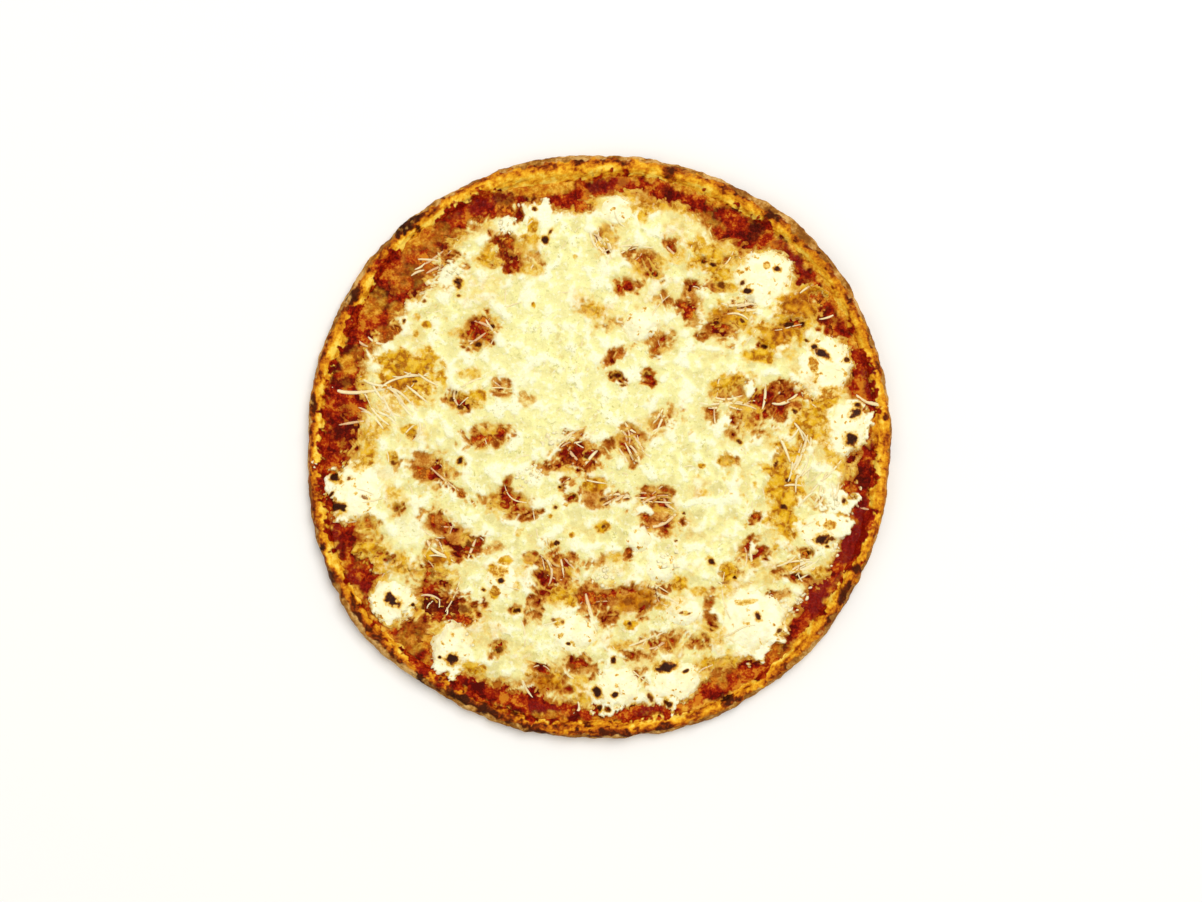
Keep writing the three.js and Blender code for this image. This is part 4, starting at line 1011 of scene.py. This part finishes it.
def crust_piece():
    """The dough: rim with lumps and blisters, swept round the part's own section."""
    angles = np.arange(RIM_SPOKES) / RIM_SPOKES * TURN
    outward = np.column_stack([np.cos(angles), np.sin(angles), np.zeros(RIM_SPOKES)])
    radius = outline("crust", RIM_LINE, (0, 0), RIM_SPOKES, PIZZA_REACH, 4)(angles) - RIM_INSET
    fan = np.radians(np.linspace(*RIM_FAN, RIM_STEPS))
    starts = outward * radius[:, None] + (0, 0, RIM_LINE)
    directions = outward[:, None, :] * np.cos(fan)[None, :, None]
    directions = directions + np.array([0, 0, 1]) * np.sin(fan)[None, :, None]
    reach = hits(tree_of("crust"), np.repeat(starts, RIM_STEPS, axis=0), directions.reshape(-1, 3))
    reach = ring_blur(reach.reshape(RIM_SPOKES, RIM_STEPS), 3.5)
    points = starts[:, None, :] + directions * reach[..., None]
    flat = points.reshape(-1, 3)
    facing = np.tile(np.degrees(fan), RIM_SPOKES)
    upper = smooth_step(0, 60, facing)
    turns = np.repeat(angles, RIM_STEPS)
    swept = [polar_points(turns, NOISE_RING), np.linalg.norm(flat[:, :2], axis=1), flat[:, 2]]
    swept = np.column_stack(swept)
    lumps = 0.9 * fractal(flat, 11, 3) + (0.2 + 0.5 * upper) * fractal(swept, 4.2, 8)
    near, number = scattered_cells(flat, 8.5, 21)
    blister = (1 - smooth_step(0.1, 0.5, near)) * smooth_step(0.5, 0.7, number)
    rise = (lumps + 0.8 * blister * upper) * smooth_step(-70, -35, facing)
    points = points + directions * rise.reshape(RIM_SPOKES, RIM_STEPS)[..., None]
    points[..., 2] = np.maximum(points[..., 2], 0)
    flat = points.reshape(-1, 3)
    brown, char, across, wet = rim_masks(flat, swept, facing, blister)
    count = len(flat)
    i, j = np.divmod(np.arange(RIM_SPOKES * (RIM_STEPS - 1)), RIM_STEPS - 1)
    here = i * RIM_STEPS + j
    beside = ((i + 1) % RIM_SPOKES) * RIM_STEPS + j
    quads = np.column_stack([here, beside, beside + 1, here + 1]).tolist()
    low = np.arange(RIM_SPOKES) * RIM_STEPS
    high = low + RIM_STEPS - 1
    caps = np.column_stack([np.roll(low, -1), low, np.full(RIM_SPOKES, count)]).tolist()
    caps += np.column_stack([high, np.roll(high, -1), np.full(RIM_SPOKES, count + 1)]).tolist()
    points = np.concatenate([flat, [[0, 0, 0], [0, 0, points[:, -1, 2].mean()]]])
    masks = [np.append(brown, [0.4, 0.4]), char, np.append(across, [0, 1]), wet]
    make_piece("crust_baked", points, quads + caps, masks, dough_material(), ["crust"])


def sauce_height(points):
    """Height of the sauce's grainy top."""
    return SAUCE_TOP - 0.15 + 0.26 * fractal(points, 6, 41) + 0.16 * fractal(points, 1.8, 45, octaves=3)


def sauce_piece():
    """Tomato sauce up to the rim's slope."""
    angles, shares, faces = disc_grid(SAUCE_RINGS)
    edge = outline("tomato_sauce", SAUCE_TOP - 0.6, (0, 0), SAUCE_SPOKES, PIZZA_REACH, 5)(angles)
    buried = 2.6
    flat = polar_points(angles, shares * (edge + buried))
    ragged = 0.9 * fractal(flat, 6, 51)
    wet = patch_mask(flat, WET_PATCHES, ragged, 0.6, 1.2)
    dark = patch_mask(flat, DARK_PATCHES, ragged, 0.4, 1.2)
    gold = patch_mask(flat, GOLD_PATCHES, ragged, 0.4, 1.2)
    gold = np.maximum(gold, 1 - sauce_share(flat))
    inside = 1 - smooth_step(98, 116, np.linalg.norm(flat, axis=1))
    orange = 0.45 + 0.8 * fractal(flat, 14, 59) + 0.05 * inside
    height = sauce_height(flat) * (1 - wet) + (SAUCE_TOP - 0.1) * wet
    climb = 1 - smooth_step(-buried, 6, edge - shares * (edge + buried))
    height += climb * (1.2 + 1.2 * fractal(flat, 5, 53, octaves=3))
    masks = [gold, wet, dark, orange]
    points, faces = closed_below(np.column_stack([flat, height]), faces, 6 * SAUCE_RINGS, SAUCE_LOW)
    make_piece("sauce_layer", points, faces, masks, sauce_material(), ["tomato_sauce"])


def thin_fields(points, ragged):
    """Thinness of the cheese at its browned patches, their tint from red (0) to tan (1), and halos."""
    thin = np.zeros(len(points))
    halo = np.zeros(len(points))
    weight = np.full(len(points), 0.02)
    tint = 0.85 * weight
    for *oval, strength, warmth in THIN_PATCHES:
        distance = oval_distance(points, *oval) + ragged
        mask = strength * (1 - smooth_step(0.25, 1.8, distance))
        thin = np.maximum(thin, mask)
        halo = np.maximum(halo, strength * (1 - smooth_step(0.8, 3.0, distance)))
        weight += mask ** 2
        tint += warmth * mask ** 2
    return thin, tint / weight, halo


def streaks(points, seed):
    """Lines of half-melted shreds in a few directions, from 0 to 1."""
    lines = np.zeros(len(points))
    for k, heading in enumerate(STREAK_HEADINGS):
        along, across = turned(points, -math.radians(heading)).T
        across = across + 6 * fractal(points, 18, seed + 9 * k, octaves=2)
        drawn = gradient_noise(np.column_stack([along / 7, across]), 2.0, seed + 9 * k + 5)
        lines = np.maximum(lines, smooth_step(0.25, 0.65, drawn))
    return lines


def busy_share(flat):
    """How far points are from the calm middle of the cheese, from 0 to 1."""
    return smooth_step(40, 95, np.linalg.norm(flat - CALM_MIDDLE, axis=1))


def cheese_layer(flat, cover, wide_cover, level):
    """Height of the cheese over points, and its masks for body, amber, curd, tint, painted shading with
    stains, and wet sauce.
    """
    ragged = 0.7 * fractal(flat, 5, 61)
    amber = amber_mask(flat)
    thin, tint, halo = thin_fields(flat, ragged)
    wet = patch_mask(flat, WET_PATCHES, ragged, 0.9, 1.8)
    film = 0.2 * smooth_step(0.15, 0.4, sampled(wide_cover, flat)) * (1 - wet)
    thick = np.minimum(film + (1 - film) * sampled(cover, flat), 1 - 0.92 * thin)
    loose = 0.12 + 2.4 * np.clip(thick * (1 - thick), 0, 0.25)
    grainy = 0.6 * fractal(flat, 8, 63) + 0.3 * fractal(flat, 2.6, 67, octaves=3)
    amount = thick + loose * grainy
    torn = smooth_step(0.05, 0.3, thick) * (1 - smooth_step(0.75, 1, thick))
    amount += 0.5 * torn * (streaks(flat, 131) - 0.4)
    busy = busy_share(flat)
    amount -= 0.22 * busy * smooth_step(0.0, 0.5, fractal(flat, 13, 69))
    amount = np.maximum(amount, 0.8 * smooth_step(0.45, 0.85, amber) * (1 - 0.6 * thin))
    relief = fractal(flat, 8, 85, octaves=3)
    # Low places of the relief are darkened as painted shading; the haze round thin patches joins it.
    painted_shading_and_stains = np.maximum(smooth_step(0.05, 0.5, -relief) * (0.4 + 0.6 * busy), 0.9 * halo)
    curd = patch_mask(flat, WHITE_CURDS, ragged, 0.5, 1.3)
    lift = 0.9 * smooth_step(0.6, 0.95, curd)
    amount = np.maximum(amount, lift * (1 + 1.4 * grainy * (1 - lift)))
    curd = np.maximum(curd, 0.85 * smooth_step(0.0, 0.4, relief)) * smooth_step(0.55, 0.85, amount)
    lumps = 0.9 * relief + 0.24 * fractal(flat, 2.0, 89, octaves=3) + 0.35 * curd
    low = SAUCE_TOP - 0.3
    height = low + smooth_step(0.0, 0.75, amount) * (sampled(level, flat) + lumps - low)
    return height, np.clip(amount, 0, 1), amber, curd, tint, painted_shading_and_stains, wet


def cheese_piece(cover, wide_cover, level):
    """Melted cheese: thick and pale in the middle of each clump, thin and browned at its edges."""
    angles, shares, faces = disc_grid(CHEESE_RINGS)
    flat = polar_points(angles, shares * CHEESE_REACH)
    height, body, toast, curd, tint, painted_shading_and_stains, wet = cheese_layer(flat, cover, wide_cover, level)
    char, halo = char_masks(flat)
    specks = smooth_step(0.4, 0.6, fractal(flat, 4.5, 97)) * smooth_step(-0.1, 0.3, fractal(flat, 30, 99))
    edge = (1 - smooth_step(0.5, 0.95, sampled(wide_cover, flat))) * (1 - wet)
    edge *= smooth_step(-0.2, 0.3, fractal(flat, 17, 95)) * (1 - smooth_step(0.86, 0.96, curd))
    busy = busy_share(flat)
    painted_shading_and_stains = np.maximum(painted_shading_and_stains, 0.9 * (1 - busy) * specks)
    toast = np.maximum.reduce([toast, (0.15 + 0.3 * busy) * specks, 0.6 * edge])
    toast *= smooth_step(0.15, 0.5, body)
    toast = np.maximum(toast, 0.8 * halo)
    dent = 0.3 * toast + 0.3 * char
    deep = patch_mask(flat, DEEP_AMBERS, 0.4 * fractal(flat, 6, 141), 0.5, 1.2)
    masks = [body, toast, curd, char, tint, painted_shading_and_stains, deep]
    points, faces = closed_below(
        np.column_stack([flat, height - dent]), faces, 6 * CHEESE_RINGS, SAUCE_TOP - 1.2)
    make_piece("cheese_melted", points, faces, masks, cheese_material(), ["melted_cheese"])


def dollop_piece(node, material, top):
    """One goat cheese dollop: a soft smooth dome that melts into the cheese round it."""
    low, high = (np.array(corner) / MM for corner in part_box(node))
    middle = (low + high)[:2] / 2
    level = low[2] + 0.25 * (high[2] - low[2])
    edge = outline(node, level, middle, DOLLOP_SPOKES, DOLLOP_REACH, 4)
    angles, shares, faces = disc_grid(DOLLOP_RINGS)
    around = middle + polar_points(angles, edge(angles))
    ragged = 0.2 * fractal(around, 10, 101, octaves=3) + 0.05 * fractal(around, 3.5, 105, octaves=2)
    flat = middle + polar_points(angles, shares * edge(angles) * (1 + ragged * shares ** 3))
    foot = sampled(top, flat) - 0.35
    dome = np.clip(1 - shares ** 2, 0, 1) ** 1.2
    lumps = 0.6 * fractal(flat, 8, 113) + 0.16 * fractal(flat, 2.2, 117)
    height = foot + (high[2] - 0.5 - foot) * dome + lumps * np.sqrt(dome)
    char, halo = char_masks(flat)
    specks = smooth_step(0.42, 0.62, fractal(flat, 3.5, 121)) * (1 - smooth_step(0.9, 1.0, shares))
    toast = np.maximum.reduce([0.8 * halo, 0.7 * specks, amber_mask(flat)])
    # Painted shading of folds, spread by noise.
    painted_fold_shading = smooth_step(0.0, 0.6, fractal(flat, 7, 125))
    body = 1 - smooth_step(0.8, 1.02, shares + 0.15 * fractal(flat, 5, 127))
    masks = [body, toast, painted_fold_shading, char]
    points, faces = closed_below(
        np.column_stack([flat, height - 0.3 * char]), faces, 6 * DOLLOP_RINGS, low[2] - 0.2)
    make_piece(node + "_soft", points, faces, masks, material, [node])


def strips(lines, widths):
    """One mesh of flat strips along lines of points, each tapered at its ends."""
    sides = STRIP_SIDES
    turn = np.arange(sides) / sides * TURN
    points = []
    faces = []
    start = 0
    for line, width in zip(lines, widths):
        steps = len(line)
        along = np.gradient(line, axis=0)
        along /= np.linalg.norm(along, axis=1)[:, None]
        side = np.column_stack([-along[:, 1], along[:, 0], np.zeros(steps)])
        side /= np.linalg.norm(side, axis=1)[:, None]
        up = np.cross(along, side)
        taper = 0.2 + 0.8 * np.sin(np.linspace(0.05, math.pi - 0.05, steps)) ** 0.5
        ring = side[:, None, :] * (width / 2 * np.cos(turn))[None, :, None]
        ring = ring + up[:, None, :] * (SHRED_THICKNESS * width * np.sin(turn))[None, :, None]
        points.append((line[:, None, :] + ring * taper[:, None, None]).reshape(-1, 3))
        for k, s in itertools.product(range(steps - 1), range(sides)):
            a = start + k * sides + s
            b = start + k * sides + (s + 1) % sides
            faces.append([a, b, b + sides, a + sides])
        faces.append([start + s for s in reversed(range(sides))])
        faces.append([start + (steps - 1) * sides + s for s in range(sides)])
        start += steps * sides
    return np.concatenate(points), faces


def draped(plan, top, sunk):
    """A line that deep in the surface, which bridges small dips."""
    z = sampled(top, plan) - sunk
    for _ in range(DRAPE_PASSES):
        smooth = z.copy()
        smooth[1:-1] = (z[:-2] + z[2:]) / 2
        z = np.maximum(smooth, z - DRAPE_FALL)
    return np.column_stack([plan, z])


def bent_line(place, length, heading, bend, twist):
    """Plan of a shred that bends to one side and twists back."""
    share = np.linspace(-0.5, 0.5, SHRED_STEPS)
    along = length * share
    aside = bend * along * along / length + twist * length * share ** 3
    return place + turned(np.column_stack([along, aside]), heading)


def through_line(x0, y0, x1, y1, x2, y2):
    """Plan of a strand through three points."""
    share = np.linspace(0, 1, STRAND_STEPS)
    weights = [(1 - share) * (1 - 2 * share), 4 * share * (1 - share), share * (2 * share - 1)]
    return np.column_stack(weights) @ np.array([[x0, y0], [x1, y1], [x2, y2]])


def shred_piece(top, body):
    """Grated shreds: the strands that stand out, the part's own, and finer ones."""
    plans = [through_line(*row[:6]) for row in STRANDS]
    widths = [STRAND_WIDENING * row[6] for row in STRANDS]
    depths = [STRAND_DEPTH] * len(STRANDS)
    for i in range(PART_SHREDS[0]):
        place = spiral_place(i, *PART_SHREDS)
        length = draw_between(PART_SHRED_LENGTHS, i, 11)
        bend = draw_between(PART_SHRED_BENDS, i, 13)
        plans.append(bent_line(place, length, TURN * draw(i, 12), bend, 0))
        widths.append(PART_SHRED_WIDTH)
        depths.append(SCATTER_DEPTH)
    for i in range(FINE_SHREDS[0]):
        place = spiral_place(i, *FINE_SHREDS)
        length = draw_between(FINE_SHRED_LENGTHS, i, 21)
        bend, twist = (draw_between(FINE_SHRED_BENDS, i, trait) for trait in (22, 23))
        plans.append(bent_line(place, length, TURN * draw(i, 24), bend, twist))
        widths.append(draw_between(FINE_SHRED_WIDTHS, i, 25))
        depths.append(SCATTER_DEPTH)
    for bundle, (*oval, heading, count) in enumerate(SHRED_BUNDLES):
        for i in range(BUNDLE_STEP * bundle, BUNDLE_STEP * bundle + count):
            place = place_in_oval(i, 41, *oval)
            turn = math.radians(heading + draw_between(BUNDLE_TURNS, i, 43))
            length = draw_between(BUNDLE_LENGTHS, i, 44)
            plans.append(bent_line(place, length, turn, draw_between(BUNDLE_BENDS, i, 45), 0))
            widths.append(draw_between(BUNDLE_WIDTHS, i, 46))
            depths.append(BUNDLE_DEPTH)
    points, faces = strips([draped(plan, top, sunk) for plan, sunk in zip(plans, depths)], widths)
    bare = 1 - smooth_step(0.15, 0.6, sampled(body, points[:, :2]))
    counts = [STRIP_SIDES * len(plan) for plan in plans]
    pale = np.repeat([draw(i, 51) for i in range(len(plans))], counts)
    stained = 0.75 * bare * smooth_step(0.25, 0.75, pale)
    make_piece("grated_shreds", points, faces, [stained], shred_material())


def crumb_lump():
    """Points and faces of one rounded lump: three rings between a lower and an upper tip."""
    sides = LUMP_SIDES
    angles = np.arange(sides) / sides * TURN
    rings = []
    for k, height in enumerate((-0.6, 0.1, 0.7)):
        ring = polar_points(angles + 0.4 * k, math.sqrt(1 - height * height))
        rings.append(np.column_stack([ring, np.full(sides, height)]))
    faces = []
    for s in range(sides):
        after = (s + 1) % sides
        for a, b in ((s, after), (s + sides, after + sides)):
            faces.append([a, b, b + sides, a + sides])
        faces += [[after, s, 3 * sides], [s + 2 * sides, after + 2 * sides, 3 * sides + 1]]
    return np.concatenate([*rings, [[0, 0, -0.9], [0, 0, 1]]]), faces


def crumb_piece(top):
    """White crumbs: small broken lumps that lie in clusters."""
    lump, lump_faces = crumb_lump()
    points = []
    faces = []
    for cluster, (*oval, tilt, count) in enumerate(CRUMB_CLUSTERS):
        for item in range(CLUSTER_STEP * cluster, CLUSTER_STEP * cluster + count):
            place = place_in_oval(item, 31, *oval, math.radians(tilt))
            half = draw_between(CRUMB_SIZES, item, 33)
            size = half * np.array([1, draw_between(CRUMB_WIDTHS, item, 34), CRUMB_HEIGHT])
            broken = lump * (1 + 0.9 * gradient_noise(lump + 7 * item, 1.1, 141)[:, None]) * size
            broken[:, :2] = turned(broken[:, :2], TURN * draw(item, 35))
            faces += [[k + len(lump) * len(points) for k in face] for face in lump_faces]
            points.append(broken + (*place, sampled(top, place[None])[0] - CRUMB_DEPTH))
    make_piece("white_crumbs", np.concatenate(points), faces, [], crumb_material())


# Stage.
def add_light(name, place, size, energy):
    light = bpy.data.lights.new(name, "AREA")
    light.energy = energy
    light.size = size
    lamp = bpy.data.objects.new(name, light)
    lamp.location = place
    lamp.rotation_euler = (-Vector(place)).to_track_quat("-Z", "Y").to_euler()
    bpy.context.scene.collection.objects.link(lamp)


def add_stage():
    """Pale floor, soft studio light and a camera straight above."""
    half = FLOOR_HALF
    corners = [(-half, -half, 0), (half, -half, 0), (half, half, 0), (-half, half, 0)]
    mesh = bpy.data.meshes.new("floor")
    mesh.from_pydata(corners, [], [(0, 1, 2, 3)])
    mesh.materials.append(Nodes("floor").finish("#f4f3f0", 0.9, 0.2))
    floor = bpy.data.objects.new("floor", mesh)
    floor.location.z = FLOOR_LEVEL
    bpy.context.scene.collection.objects.link(floor)
    add_light("key", *KEY_LIGHT)
    add_light("fill", *FILL_LIGHT)
    world = bpy.data.worlds.new("studio")
    world.use_nodes = True
    world.node_tree.nodes["Background"].inputs["Color"].default_value = SKY_COLOUR
    world.node_tree.nodes["Background"].inputs["Strength"].default_value = SKY_STRENGTH
    bpy.context.scene.world = world
    bpy.context.scene.view_settings.view_transform = "Standard"
    data = bpy.data.cameras.new("camera")
    data.sensor_width = SENSOR_WIDTH
    data.lens = data.sensor_width * CAMERA_HEIGHT / VIEW_WIDTH
    camera = bpy.data.objects.new("camera", data)
    camera.location = (VIEW_OFFSET[0] * MM, VIEW_OFFSET[1] * MM, (CHEESE_LEVEL + CAMERA_HEIGHT) * MM)
    bpy.context.scene.collection.objects.link(camera)
    bpy.context.scene.camera = camera


add_stage()
cheese_cover, cheese_wide_cover, cheese_level = cheese_fields()
surface, cheese_body = cheese_layer(GRID_POINTS, cheese_cover, cheese_wide_cover, cheese_level)[:2]
surface = np.maximum(surface, sauce_height(GRID_POINTS))
surface = surface.reshape(GRID_SHAPE)
upper_surface = np.fmax(surface, cast_grid("crust") + RIM_CLEARANCE)
for dollop in DOLLOPS:
    upper_surface = np.fmax(upper_surface, cast_grid(dollop))
crust_piece()
sauce_piece()
cheese_piece(cheese_cover, cheese_wide_cover, cheese_level)
goat = goat_material()
for dollop in DOLLOPS:
    dollop_piece(dollop, goat, surface)
shred_piece(upper_surface, cheese_body.reshape(GRID_SHAPE))
crumb_piece(upper_surface)
